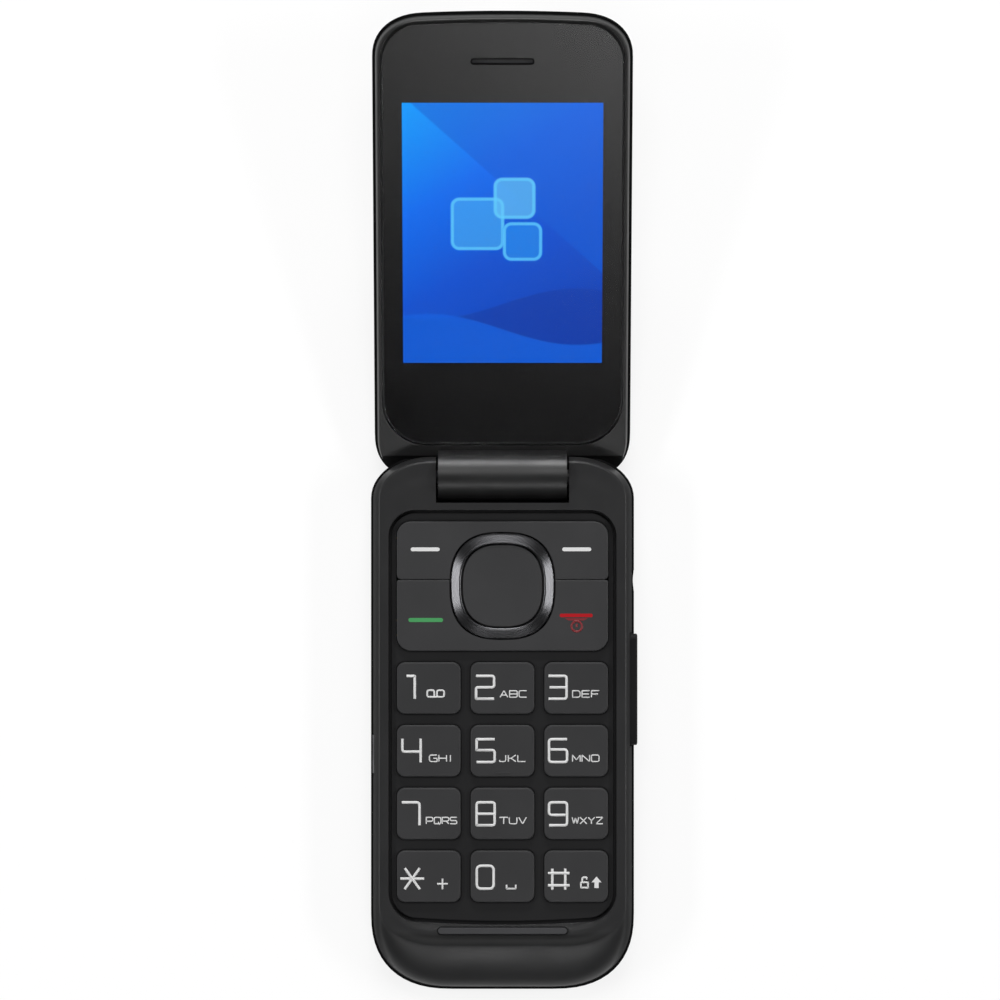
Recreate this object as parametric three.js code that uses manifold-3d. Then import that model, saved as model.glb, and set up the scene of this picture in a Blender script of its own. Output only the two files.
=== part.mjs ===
import * as THREE from 'three';
import { mergeVertices } from 'three/addons/utils/BufferGeometryUtils.js';
import Module from 'manifold-3d';

// A flip phone lying open on its back. Lengths are in millimetres, angles in degrees.
// The origin is the centre of the base's rear face, +X right, +Y towards the lid, +Z out of
// the keypad. The lid is a turned group whose own origin lies on the hinge axis.

const manifold = await Module();
manifold.setup();

// Clearances
const seatGap = 0.15;
const layerGap = 0.1;
const partingGap = 0.1;
const overrun = 1.0;

// Digit keys and their grid
const keyWidth = 12.6;
const keyCorner = 1.6;
const keyPitchX = 14.5;
const keyRowGap = 2.15;
const keyColumns = 3;
const keyRows = 4;
const keyTravel = 0.3;
const keyFlange = 0.4;
const keyFlangeThickness = 0.3;
const keyProud = 0.8;
const keyBevel = 0.35;
const keyBevelDrop = 0.16;
const keyGap = 0.22;
const tactileBarLength = 2.4;
const tactileBarWidth = 0.4;
const tactileBarHeight = 0.14;
const tactileBarInset = 1.3;

// Function keys round the navigation ring
const clusterHeight = 25.5;
const clusterCorner = 2.8;
const clusterSeam = 0.2;
const softKeyCorner = 0.9;
const callKeyCorner = 0.4;
const plateThickness = 1.35;
const ringTopMargin = 2.3;
const ringBottomMargin = 2.4;
const ringNarrowing = 0.2;
const seamAboveRing = 1.2;
const ringWidth = 2.1;
const ringProud = 0.4;
const ringSlope = 1.7;
const ringSlopeDrop = 0.85;
const ringInnerBevel = 0.2;
const ringHeight = 1.9;
const ringPower = 2.6;
const okKeyGap = 0.25;
const collarWidth = 1.9;
const collarThickness = 0.3;
const rockGap = 0.25;

// Recess that holds the keypad, and the deck round it
const windowSideMargin = 1.6;
const windowTopMargin = 2.2;
const windowBottomMargin = 4.05;
const clusterRowGap = 2.2;
const windowCorner = 5.2;
const windowBow = 1.0;
const windowRimBevel = 0.35;
const panelLip = 0.5;
const panelGrooveWidth = 0.5;
const panelGrooveDepth = 0.4;
const deckSide = 1.9;
const deckBridge = 1.45;
const deckFoot = 4.4;

// Base shell
const shellWall = 1.3;
const sideCreaseInset = 1.7;
const endCreaseInset = 1.5;
const chinInset = 9.1;
const bandStep = 0.25;
const rearEdgeInset = 3.0;
const rearEdgeHeight = 3.6;
const coverWall = 1.2;
const coverEdgeBelowJack = 3.1;
const hingeCornerX = 12.0;
const hingeCornerY = 8.6;
const chinCornerX = 16.0;
const chinCornerY = 15.0;
const deckChinCornerX = 13.0;
const deckChinCornerY = 9.0;
const chinPower = 2.4;
const roundPower = 2.0;
const creaseDegrees = 62;
const rearWallChamfer = 0.6;
const rearFloor = 0.6;

// Layers of the base, counted up from its rear face
const batteryThickness = 4.2;
const ceilingWall = 0.6;
const partingDrop = 0.3;
const boardGap = 0.2;
const boardThickness = 0.8;
const domeSheetThickness = 0.1;
const domeHeight = 0.2;
const domeRadius = 2.2;
const nubRadius = 1.2;
const nubHeight = 0.15;
const matThickness = 0.2;
const panelThickness = 0.8;
const deckThickness = 1.15;

// Hinge
const earRadius = 4.5;
const hingeDepth = 3.0;
const barrelRadius = 4.6;
const barrelHalfLength = 12.65;
const barrelSideGap = 0.45;
const barrelFrontGap = 0.45;
const lidEarGap = 0.4;
const lidStopGap = 0.3;
const pinRadius = 1.65;
const pinReach = 5.1;
const pinSocket = 2.8;
const moduleRadius = 2.9;
const moduleFlexGap = 1.5;
const sleeveBoreRadius = 1.05;
const sleeveLength = 9.2;
const flexRollRadius = 0.8;
const flexWidth = 3.6;
const flexThickness = 0.2;
const flexChamber = 6.0;
const restTiltDegrees = 15;

// Lid
const lidSideInset = 0.7;
const lidFootGap = 0.45;
const lidTail = 1.5;
const lidThickness = 7.4;
const closedGap = 0.4;
const lidWall = 1.2;
const lidPartingDrop = 2.75;
const lidRimInset = 1.2;
const lidBackInset = 4.2;
const lidFarCornerX = 10.0;
const lidFarCornerY = 8.0;
const lidNearCornerX = 8.5;
const lidNearCornerY = 9.0;
const lidFarPower = 2.3;
const lidNearPower = 2.4;
const lidBow = 0.9;
const floorClearance = 0.22;
const lensSideMargin = 2.0;
const lensFarMargin = 2.15;
const lensStart = 6.0;
const lensNearCorner = 8.5;
const lensFarCorner = 6.5;
const lensThickness = 0.8;
const lensSink = 0.1;
const lensGap = 0.2;
const lensGroove = 0.5;
const lensGrooveDrop = 0.5;
const framePlate = 0.9;
const displayHalfWidth = 19.55;
const displayLength = 51.8;
const displayStart = 22.2;
const lcdSideBorder = 1.75;
const lcdNearBorder = 3.0;
const lcdFarBorder = 2.5;
const lcdThickness = 2.4;
const lcdEarpieceGap = 2.65;
const lidBoardThickness = 0.6;
const lidBoardHalfWidth = 16.4;
const lidBoardStart = 9.0;
const lidHollowStart = 8.0;

// Earpiece, camera and magnet in the lid
const earSlotLength = 12.4;
const earSlotWidth = 1.3;
const earSlotFromEnd = 9.5;
const earpieceLength = 15.0;
const earpieceWidth = 6.0;
const earpieceThickness = 2.2;
const earMeshThickness = 0.25;
const cameraBeyondLcd = 2.0;
const cameraHalf = 3.6;
const cameraHeight = 1.9;
const cameraWindowRadius = 4.6;
const cameraWindowThickness = 0.6;
const magnetLength = 4.0;
const magnetWidth = 3.0;
const magnetThickness = 1.4;
const magnetX = 16.5;

// Fasteners
const screwHeadRadius = 1.4;
const screwHeadHeight = 0.9;
const screwRadius = 0.7;
const screwGap = 0.15;
const bossRadius = 1.9;
const screwTipDepth = 1.5;
const topScrewX = 19.3;
const topScrewBehindNotch = 1.5;
const footScrewX = 17.0;
const footScrewFromEnd = 8.4;
const topScrewSink = 0.5;
const lidScrewX = 18.8;
const lidScrewY = 13.0;

// Pieces inside the base
const batteryHalfWidth = 17.0;
const batteryLength = 46.0;
const batteryCorner = 1.2;
const bayFoot = 12.0;
const bayWall = 1.0;
const contactLength = 8.0;
const contactWidth = 1.6;
const contactX = -8.0;
const simHalfWidth = 13.0;
const simLength = 14.6;
const simThickness = 1.1;
const shieldHalfWidth = 14.0;
const shieldX = -5.0;
const shieldMargin = 2.625;
const shieldThickness = 1.5;
const speakerMargin = 2.925;
const speakerThickness = 2.4;
const speakerX = -6.0;
const speakerSlotLength = 7.0;
const speakerSlotWidth = 0.8;
const speakerSlotPitch = 2.2;
const speakerSlotCount = 3;
const motorRadius = 1.9;
const motorLength = 11.0;
const motorAboveBayFoot = 17.2;
const antennaHalfWidth = 13.0;
const antennaLength = 4.0;
const antennaThickness = 1.5;
const microphoneRadius = 2.0;
const microphoneHeight = 1.2;
const microphoneFromEnd = 10.6;
const boardHalfWidth = 22.4;
const matHalfWidth = 19.9;
const matCorner = 2.0;
const boardCorner = 4.0;
const clusterDomeX = 15.0;
const ringDomeInset = 3.6;

// Ports, side key and rubber bumper
const usbBelowHinge = 54.6;
const usbWidth = 7.5;
const usbHeight = 2.4;
const usbDepth = 5.2;
const usbShell = 0.3;
const usbTongue = 0.6;
const usbRecess = 0.4;
const usbRise = 0.35;
const jackBayGap = 1.15;
const jackBoreRadius = 1.8;
const jackBodyHalf = 2.55;
const jackLength = 11.0;
const jackWall = 0.7;
const jackZ = 4.7;
const volumeBelowHinge = 41.85;
const volumeLength = 22.0;
const volumeHeight = 2.3;
const volumeProud = 0.6;
const volumeGap = 0.25;
const volumeDepth = 1.7;
const volumeZ = 7.7;
const sideBoardThickness = 0.5;
const sideBoardLength = 18.0;
const sideBoardHeight = 2.2;
const sideSwitchHeight = 0.5;
const sideSwitchLength = 2.6;
const sideSwitchPitch = 12.0;
const bumperHalfLength = 12.7;
const bumperWidth = 1.45;
const bumperProud = 0.25;
const bumperDepth = 0.7;
const bumperBelowWindow = 1.5;
const bumperGap = 0.2;

// Facet counts
const cornerSteps = 6;
const edgeSteps = 4;
const keyCornerSteps = 3;
const edgeRounds = 4;
const roundSides = 20;
const ringSides = 32;
const domeSides = 6;
const speakerSides = 24;
const screwSides = 12;
const tailSteps = 6;
const earSteps = 14;

// Derived sizes of the base
const lidLength = displayStart + displayLength + lcdFarBorder + lcdEarpieceGap + earpieceWidth / 2
  + earSlotFromEnd;
const baseLength = lidLength + lidFootGap + earRadius + chinInset;
const baseHalfLength = baseLength / 2;
const windowHalfWidth = keyPitchX + keyWidth / 2 + windowSideMargin;
const baseHalfWidth = windowHalfWidth + deckSide + sideCreaseInset;
const hingeY = baseHalfLength - earRadius;
const notchHalfWidth = barrelHalfLength + barrelSideGap;
const notchY = hingeY - barrelRadius - barrelFrontGap;
const windowTopY = notchY - deckBridge;
const windowBottomY = chinInset + deckFoot - baseHalfLength;
const clusterTopY = windowTopY - windowTopMargin;
const clusterBottomY = clusterTopY - clusterHeight;
const clusterHalfWidth = windowHalfWidth - windowSideMargin;
const ringHalfHeight = (clusterHeight - ringTopMargin - ringBottomMargin) / 2;
const ringHalfWidth = ringHalfHeight - ringNarrowing;
const ringY = clusterTopY - ringTopMargin - ringHalfHeight;
const seamY = ringY + seamAboveRing;
const keysTopY = clusterBottomY - clusterRowGap;
const keysBottomY = windowBottomY + windowBottomMargin;
const keyPitchY = (keysTopY - keysBottomY + keyRowGap) / keyRows;
const keyHeight = keyPitchY - keyRowGap;
const firstRowY = keysTopY - keyHeight / 2;

// Derived heights of the base's layers
const bayCeiling = coverWall + seatGap * 2 + batteryThickness;
const partingHeight = bayCeiling - partingDrop;
const trayTop = bayCeiling + ceilingWall;
const boardBottom = trayTop + boardGap;
const boardTop = boardBottom + boardThickness;
const domeSheetBottom = boardTop + layerGap;
const domeSheetTop = domeSheetBottom + domeSheetThickness;
const nubBottom = domeSheetTop + domeHeight + layerGap;
const matBottom = nubBottom + nubHeight;
const matTop = matBottom + matThickness;
const flangeBottom = matTop + keyTravel + layerGap;
const flangeTop = flangeBottom + keyFlangeThickness;
const panelBottom = flangeTop + layerGap;
const panelTop = panelBottom + panelThickness;
const deckBottom = panelTop + layerGap;
const baseThickness = deckBottom + deckThickness;
const hingeZ = baseThickness - hingeDepth;
const keyTop = panelTop + keyProud;
const coverTop = partingHeight - shellWall;

// Derived places in the lid, in the lid's own frame
const lidHalfWidth = baseHalfWidth - lidSideInset;
const lidFace = -hingeDepth - closedGap;
const lidBack = lidFace - lidThickness;
const lidParting = lidFace - lidPartingDrop;
const lensTop = lidFace - lensSink;
const lensBottom = lensTop - lensThickness;
const plateTop = lensBottom - layerGap;
const plateBottom = plateTop - framePlate;
const lcdTop = lensBottom - layerGap;
const lcdBottom = lcdTop - lcdThickness;
const lidBoardTop = lcdBottom - seatGap;
const lidBoardBottom = lidBoardTop - lidBoardThickness;
const lidFloor = lidBack + lidWall;
const lensHalfWidth = lidHalfWidth - lensSideMargin;
const lensEnd = lidLength - lensFarMargin;
const earSlotY = lidLength - earSlotFromEnd;
const lcdHalfWidth = displayHalfWidth + lcdSideBorder;
const lcdStart = displayStart - lcdNearBorder;
const lcdEnd = displayStart + displayLength + lcdFarBorder;
const cameraY = lcdEnd + cameraBeyondLcd;

// Materials
function material(name, color, roughness, metalness) {
  return new THREE.MeshStandardMaterial({ name, color, roughness, metalness, flatShading: true });
}
const housingPlastic = material('housing_plastic', 0x2c2c2e, 0.5, 0);
const panelPlastic = material('panel_plastic', 0x1f1f21, 0.6, 0);
const keyPlastic = material('key_plastic', 0x39393b, 0.5, 0);
const ringMetal = material('ring_metal', 0x8e8e90, 0.25, 0.9);
const lensAcrylic = material('lens_acrylic', 0x151516, 0.1, 0);
const screenGlass = material('screen_glass', 0x0764e0, 0.2, 0);
const steel = material('steel', 0xa8a9ac, 0.3, 1);
const silicone = material('silicone', 0x4a4a4c, 0.8, 0);
const boardLaminate = material('board_laminate', 0x1d5a3a, 0.6, 0);
const batteryWrap = material('battery_wrap', 0x202226, 0.5, 0);
const magnetMetal = material('magnet_metal', 0xb8b8ba, 0.25, 1);
const flexFilm = material('flex_film', 0xb5701d, 0.4, 0);
const blackRubber = material('black_rubber', 0x161617, 0.8, 0);
const meshCloth = material('mesh_cloth', 0x0c0c0d, 0.9, 0);

// Solids: closed geometry in, joined or cut geometry out
function solid(geometry) {
  const bare = new THREE.BufferGeometry();
  bare.setAttribute('position', geometry.getAttribute('position'));
  bare.setIndex(geometry.getIndex());
  const welded = mergeVertices(bare);
  const vertProperties = new Float32Array(welded.getAttribute('position').array);
  const triVerts = new Uint32Array(welded.getIndex().array);
  return new manifold.Manifold(new manifold.Mesh({ numProp: 3, vertProperties, triVerts }));
}

function geometryOf(body) {
  const mesh = body.getMesh();
  const geometry = new THREE.BufferGeometry();
  geometry.setAttribute('position', new THREE.BufferAttribute(new Float32Array(mesh.vertProperties), 3));
  geometry.setIndex(new THREE.BufferAttribute(new Uint32Array(mesh.triVerts), 1));
  geometry.computeVertexNormals();
  return geometry;
}

function cut(body, ...tools) {
  return tools.reduce((rest, tool) => rest.subtract(tool), body);
}

function join(body, ...others) {
  return others.reduce((whole, other) => whole.add(other), body);
}

// Outlines: a rounded oblong whose four corners are quarter superellipses and whose two ends
// may bow outwards
function outline(spec) {
  const { halfWidth, top, bottom, topCorner, bottomCorner } = spec;
  const { topPower = roundPower, bottomPower = roundPower, topBow = 0, bottomBow = 0 } = spec;
  const steps = spec.steps ?? cornerSteps;
  const edges = spec.edges ?? edgeSteps;
  const points = [];
  const end = (y, corner, power, bow, upward) => {
    const sign = upward ? 1 : -1;
    const place = (x, rise) => {
      const sag = bow * (x / halfWidth) ** 2;
      points.push(new THREE.Vector2(x, y - sign * (corner[1] - rise + sag)));
    };
    const quarter = (side, from, to) => {
      for (let step = 0; step <= steps; step += 1) {
        const angle = THREE.MathUtils.degToRad(THREE.MathUtils.lerp(from, to, step / steps));
        const across = corner[0] * Math.max(Math.cos(angle), 0) ** (2 / power);
        const rise = corner[1] * Math.max(Math.sin(angle), 0) ** (2 / power);
        place(side * (halfWidth - corner[0] + across), rise);
      }
    };
    quarter(sign, 0, 90);
    for (let step = 1; step < edges; step += 1) {
      place(sign * (halfWidth - corner[0]) * (1 - 2 * step / edges), corner[1]);
    }
    quarter(-sign, 90, 0);
  };
  end(top, topCorner, topPower, topBow, true);
  end(bottom, bottomCorner, bottomPower, bottomBow, false);
  return points;
}

function oblong(halfWidth, bottom, top, corner, steps = keyCornerSteps) {
  const pair = [corner, corner];
  return outline({ halfWidth, top, bottom, topCorner: pair, bottomCorner: pair, steps, edges: 1 });
}

function squircle(halfWidth, halfHeight, inset) {
  const points = [];
  for (let side = 0; side < ringSides; side += 1) {
    const angle = Math.PI * 2 * side / ringSides;
    const across = Math.sign(Math.cos(angle)) * Math.abs(Math.cos(angle)) ** (2 / ringPower);
    const up = Math.sign(Math.sin(angle)) * Math.abs(Math.sin(angle)) ** (2 / ringPower);
    points.push(new THREE.Vector2((halfWidth - inset) * across, (halfHeight - inset) * up));
  }
  return points;
}

// A loft through rings of equal point counts, listed from the lowest to the highest
function loft(rings) {
  const count = rings[0].points.length;
  const positions = rings.flatMap((ring) => ring.points.flatMap((p) => [p.x, p.y, ring.z]));
  const faces = [];
  for (let level = 0; level < rings.length - 1; level += 1) {
    for (let i = 0; i < count; i += 1) {
      const a = level * count + i;
      const b = level * count + (i + 1) % count;
      faces.push(a, b, b + count, a, b + count, a + count);
    }
  }
  const last = (rings.length - 1) * count;
  for (const [a, b, c] of THREE.ShapeUtils.triangulateShape(rings[0].points, [])) {
    faces.push(a, c, b);
  }
  for (const [a, b, c] of THREE.ShapeUtils.triangulateShape(rings.at(-1).points, [])) {
    faces.push(last + a, last + b, last + c);
  }
  const geometry = new THREE.BufferGeometry();
  geometry.setAttribute('position', new THREE.Float32BufferAttribute(positions, 3));
  geometry.setIndex(faces);
  return geometry;
}

function prism(points, from, to, holes = []) {
  const shape = new THREE.Shape(points);
  shape.holes = holes.map((hole) => new THREE.Path(hole));
  const geometry = new THREE.ExtrudeGeometry(shape, { depth: to - from, bevelEnabled: false });
  return geometry.translate(0, 0, from);
}

function box(x0, x1, y0, y1, z0, z1) {
  const geometry = new THREE.BoxGeometry(x1 - x0, y1 - y0, z1 - z0);
  return geometry.translate((x0 + x1) / 2, (y0 + y1) / 2, (z0 + z1) / 2);
}

function rodX(radius, x0, x1, y, z, sides = roundSides) {
  const geometry = new THREE.CylinderGeometry(radius, radius, x1 - x0, sides);
  return geometry.rotateZ(Math.PI / 2).translate((x0 + x1) / 2, y, z);
}

function rodY(radius, x, y0, y1, z, sides = roundSides) {
  const geometry = new THREE.CylinderGeometry(radius, radius, y1 - y0, sides);
  return geometry.translate(x, (y0 + y1) / 2, z);
}

function rodZ(radius, x, y, z0, z1, sides = roundSides) {
  const geometry = new THREE.CylinderGeometry(radius, radius, z1 - z0, sides);
  return geometry.rotateX(Math.PI / 2).translate(x, y, (z0 + z1) / 2);
}

// A side profile drawn in Y and Z, swept across the width
function sideProfile(points, x0, x1) {
  const shape = new THREE.Shape(points);
  const geometry = new THREE.ExtrudeGeometry(shape, { depth: x1 - x0, bevelEnabled: false });
  return geometry.rotateY(Math.PI / 2).rotateX(Math.PI / 2).translate(x0, 0, 0);
}

const phone = new THREE.Group();
const lid = new THREE.Group();
lid.position.set(0, hingeY, hingeZ);
lid.rotation.x = THREE.MathUtils.degToRad(restTiltDegrees);
phone.add(lid);

function piece(parent, name, shape, look) {
  const geometry = shape.isBufferGeometry ? shape : geometryOf(shape);
  const mesh = new THREE.Mesh(geometry, look);
  mesh.name = name;
  parent.add(mesh);
  return mesh;
}

// Base shell outlines: the plan at one height, drawn in by separate amounts at the sides, the
// hinge end and the chin
function basePlan(side, hingeEnd, chin, chinShare = 0) {
  const chinX = THREE.MathUtils.lerp(chinCornerX, deckChinCornerX, chinShare);
  const chinY = THREE.MathUtils.lerp(chinCornerY, deckChinCornerY, chinShare);
  const chinDraw = chinShare > 0 ? 0 : side;
  return outline({
    halfWidth: baseHalfWidth - side,
    top: baseHalfLength - hingeEnd,
    bottom: chin - baseHalfLength,
    topCorner: [hingeCornerX - side, hingeCornerY - hingeEnd],
    bottomCorner: [chinX - chinDraw, chinY - chinDraw],
    bottomPower: chinPower,
  });
}

// Lower half of the base: a rounded rear edge and straight sides
function lowerShell(inset, from) {
  const rings = [];
  for (let step = 0; step <= edgeRounds; step += 1) {
    const angle = THREE.MathUtils.degToRad(90 * step / edgeRounds);
    const drawn = inset + rearEdgeInset * (1 - Math.sin(angle));
    const z = rearEdgeHeight - (rearEdgeHeight - from) * Math.cos(angle);
    rings.push({ z, points: basePlan(drawn, drawn, drawn) });
  }
  rings.push({ z: coverTop, points: basePlan(inset, inset, inset) });
  rings.push({ z: partingHeight, points: basePlan(inset, inset, inset) });
  return solid(loft(rings));
}

// Upper half of the base, set back a step from the lower one: sides that lean in to the deck's
// crease, and the long sloping chin
function upperShell() {
  const rings = [];
  const crease = THREE.MathUtils.degToRad(creaseDegrees);
  const rise = baseThickness - partingHeight - partingGap;
  for (let step = 0; step <= edgeRounds; step += 1) {
    const angle = crease * step / edgeRounds;
    const inwardShare = (1 - Math.cos(angle)) / (1 - Math.cos(crease));
    const upShare = Math.sin(angle) / Math.sin(crease);
    const z = partingHeight + partingGap + rise * upShare;
    const draw = (crest) => THREE.MathUtils.lerp(bandStep, crest, inwardShare);
    const points = basePlan(draw(sideCreaseInset), draw(endCreaseInset), draw(chinInset), inwardShare);
    rings.push({ z, points });
  }
  return solid(loft(rings));
}

// The hinge end seen from the side: ears with a full round end about the hinge axis, and under
// them the rear wall that the open lid stops against
function earProfile() {
  const tilt = THREE.MathUtils.degToRad(restTiltDegrees);
  const lipDepth = Math.sqrt((earRadius + lidEarGap) ** 2 - lidTail ** 2);
  const stopY = hingeY - lidTail * Math.cos(tilt) + lipDepth * Math.sin(tilt) - lidStopGap;
  const points = [
    new THREE.Vector2(-baseLength, -overrun),
    new THREE.Vector2(stopY - rearWallChamfer - overrun, -overrun),
    new THREE.Vector2(stopY, rearWallChamfer),
  ];
  const startAngle = -Math.acos((stopY - hingeY) / earRadius);
  for (let step = 0; step <= earSteps; step += 1) {
    const angle = THREE.MathUtils.lerp(startAngle, Math.PI / 2, step / earSteps);
    const y = hingeY + earRadius * Math.cos(angle);
    points.push(new THREE.Vector2(y, hingeZ + earRadius * Math.sin(angle)));
  }
  points.push(new THREE.Vector2(-baseLength, hingeZ + earRadius));
  return solid(sideProfile(points, -baseHalfWidth - overrun, baseHalfWidth + overrun));
}

// The notch between the ears: open above the hinge axis, and under it a saddle round the barrel
function barrelNotch() {
  const reach = hingeY - notchY;
  const points = [
    new THREE.Vector2(baseLength, hingeZ - reach),
    new THREE.Vector2(baseLength, baseThickness + overrun),
    new THREE.Vector2(notchY, baseThickness + overrun),
  ];
  for (let step = 0; step <= earSteps; step += 1) {
    const angle = Math.PI * THREE.MathUtils.lerp(1, 1.5, step / earSteps);
    points.push(new THREE.Vector2(hingeY + reach * Math.cos(angle), hingeZ + reach * Math.sin(angle)));
  }
  return solid(sideProfile(points, -notchHalfWidth, notchHalfWidth));
}

const ears = earProfile();
const notch = barrelNotch();

// Places shared by the housings and what they hold
const footScrewY = footScrewFromEnd - baseHalfLength;
const topScrewY = notchY + topScrewBehindNotch;
const bayFootY = bayFoot - baseHalfLength;
const bayTopY = bayFootY + batteryLength + seatGap * 2;
const bayHalfWidth = batteryHalfWidth + seatGap * 2;
const contactY = bayTopY + contactWidth / 2 + seatGap;
const simBottomY = contactY + contactWidth / 2 + bayWall + seatGap;
const simTopY = simBottomY + simLength + seatGap * 2;
const cavityTopY = notchY - (deckBridge - panelLip - seatGap);
const bayEndY = simTopY + bayWall;
const upperBayLength = cavityTopY - bayEndY;
const shieldY = (bayEndY + cavityTopY) / 2;
const shieldLength = upperBayLength - shieldMargin * 2;
const speakerRadius = upperBayLength / 2 - speakerMargin;
const jackY = bayEndY + jackBayGap + jackBodyHalf;
const coverEdgeY = jackY - coverEdgeBelowJack;
const volumeY = hingeY - volumeBelowHinge;
const usbY = hingeY - usbBelowHinge;
const motorY = bayFootY + motorAboveBayFoot;
const bumperY = windowBottomY - bumperBelowWindow;
const trayFloor = coverWall + seatGap + rearFloor;
const innerInset = shellWall + seatGap;
const pocketInset = innerInset + bayWall;
const pocketHalfWidth = baseHalfWidth - pocketInset - rearFloor;
const clearBore = screwRadius + screwGap;
const headBore = screwHeadRadius + screwGap;
const screwTip = baseThickness - screwTipDepth;
const footScrewPlaces = [
  { name: 'base_screw_foot_left', x: -footScrewX, y: footScrewY, head: trayFloor },
  { name: 'base_screw_foot_right', x: footScrewX, y: footScrewY, head: trayFloor },
];
const screwPlaces = [
  { name: 'base_screw_top_left', x: -topScrewX, y: topScrewY, head: topScrewSink },
  { name: 'base_screw_top_right', x: topScrewX, y: topScrewY, head: topScrewSink },
  ...footScrewPlaces,
];
const volumeOpening = solid(box(baseHalfWidth - shellWall * 2, baseHalfWidth + overrun,
  volumeY - volumeLength / 2 - volumeGap, volumeY + volumeLength / 2 + volumeGap,
  volumeZ - volumeHeight / 2 - volumeGap, volumeZ + volumeHeight / 2 + volumeGap));
const jackHole = solid(rodX(jackBoreRadius + jackWall / 2, baseHalfWidth - pocketInset - overrun,
  baseHalfWidth + overrun, jackY, jackZ));
const usbBottom = partingHeight + usbRise;
const usbOpening = solid(box(-baseHalfWidth - overrun, -pocketHalfWidth + overrun,
  usbY - usbWidth / 2 - seatGap, usbY + usbWidth / 2 + seatGap,
  partingHeight, usbBottom + usbHeight + seatGap));

function frontHousing() {
  const cavityChin = bandStep + shellWall * 2;
  const hollow = solid(loft([
    { z: partingHeight - overrun, points: cavityPlan(shellWall, cavityChin - shellWall) },
    { z: partingHeight + partingGap, points: cavityPlan(shellWall, cavityChin) },
    { z: deckBottom, points: cavityPlan(shellWall + sideCreaseInset / 2, chinInset) },
  ]));
  const window = solid(loft([
    { z: deckBottom - overrun, points: windowPlan(0) },
    { z: baseThickness - windowRimBevel, points: windowPlan(0) },
    { z: baseThickness, points: windowPlan(windowRimBevel) },
    { z: baseThickness + overrun, points: windowPlan(windowRimBevel) },
  ]));
  const bumperSlot = solid(prism(pill(bumperHalfLength + bumperGap, bumperWidth + bumperGap * 2),
    baseThickness - bumperDepth, baseThickness + overrun).translate(0, bumperY, 0));
  let housing = cut(upperShell().intersect(ears), notch, hollow);
  for (const { x, y } of screwPlaces) {
    const boss = solid(rodZ(bossRadius, x, y, trayTop + seatGap, baseThickness));
    housing = join(housing, boss.intersect(upperShell()).intersect(ears));
  }
  housing = cut(housing, window, bumperSlot, volumeOpening, jackHole, usbOpening);
  for (const side of [-1, 1]) {
    const ends = [side * (notchHalfWidth - overrun), side * (notchHalfWidth + pinReach + seatGap)];
    const pinBore = rodX(pinRadius + seatGap, Math.min(...ends), Math.max(...ends), hingeY, hingeZ);
    housing = cut(housing, solid(pinBore));
  }
  for (const { x, y } of screwPlaces) {
    housing = cut(housing, solid(rodZ(clearBore, x, y, -overrun, screwTip + seatGap, screwSides)));
  }
  const flexSlot = solid(box(notchHalfWidth + pinReach - flexWidth, notchHalfWidth + pinReach,
    cavityTopY - overrun, hingeY, hingeZ - flexThickness * 2, hingeZ + flexThickness * 2));
  return cut(housing, flexSlot);
}

function cavityPlan(side, chin) {
  return outline({
    halfWidth: baseHalfWidth - side,
    top: cavityTopY,
    bottom: chin - baseHalfLength,
    topCorner: [boardCorner, boardCorner],
    bottomCorner: [deckChinCornerX, deckChinCornerY],
  });
}

function windowPlan(grow) {
  const corner = windowCorner + grow;
  return outline({
    halfWidth: windowHalfWidth + grow,
    top: windowTopY + grow,
    bottom: windowBottomY - grow,
    topCorner: [corner, corner],
    bottomCorner: [corner, corner],
    bottomBow: windowBow,
  });
}

function pill(halfLength, width) {
  return oblong(halfLength, -width / 2, width / 2, width / 2);
}

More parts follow.
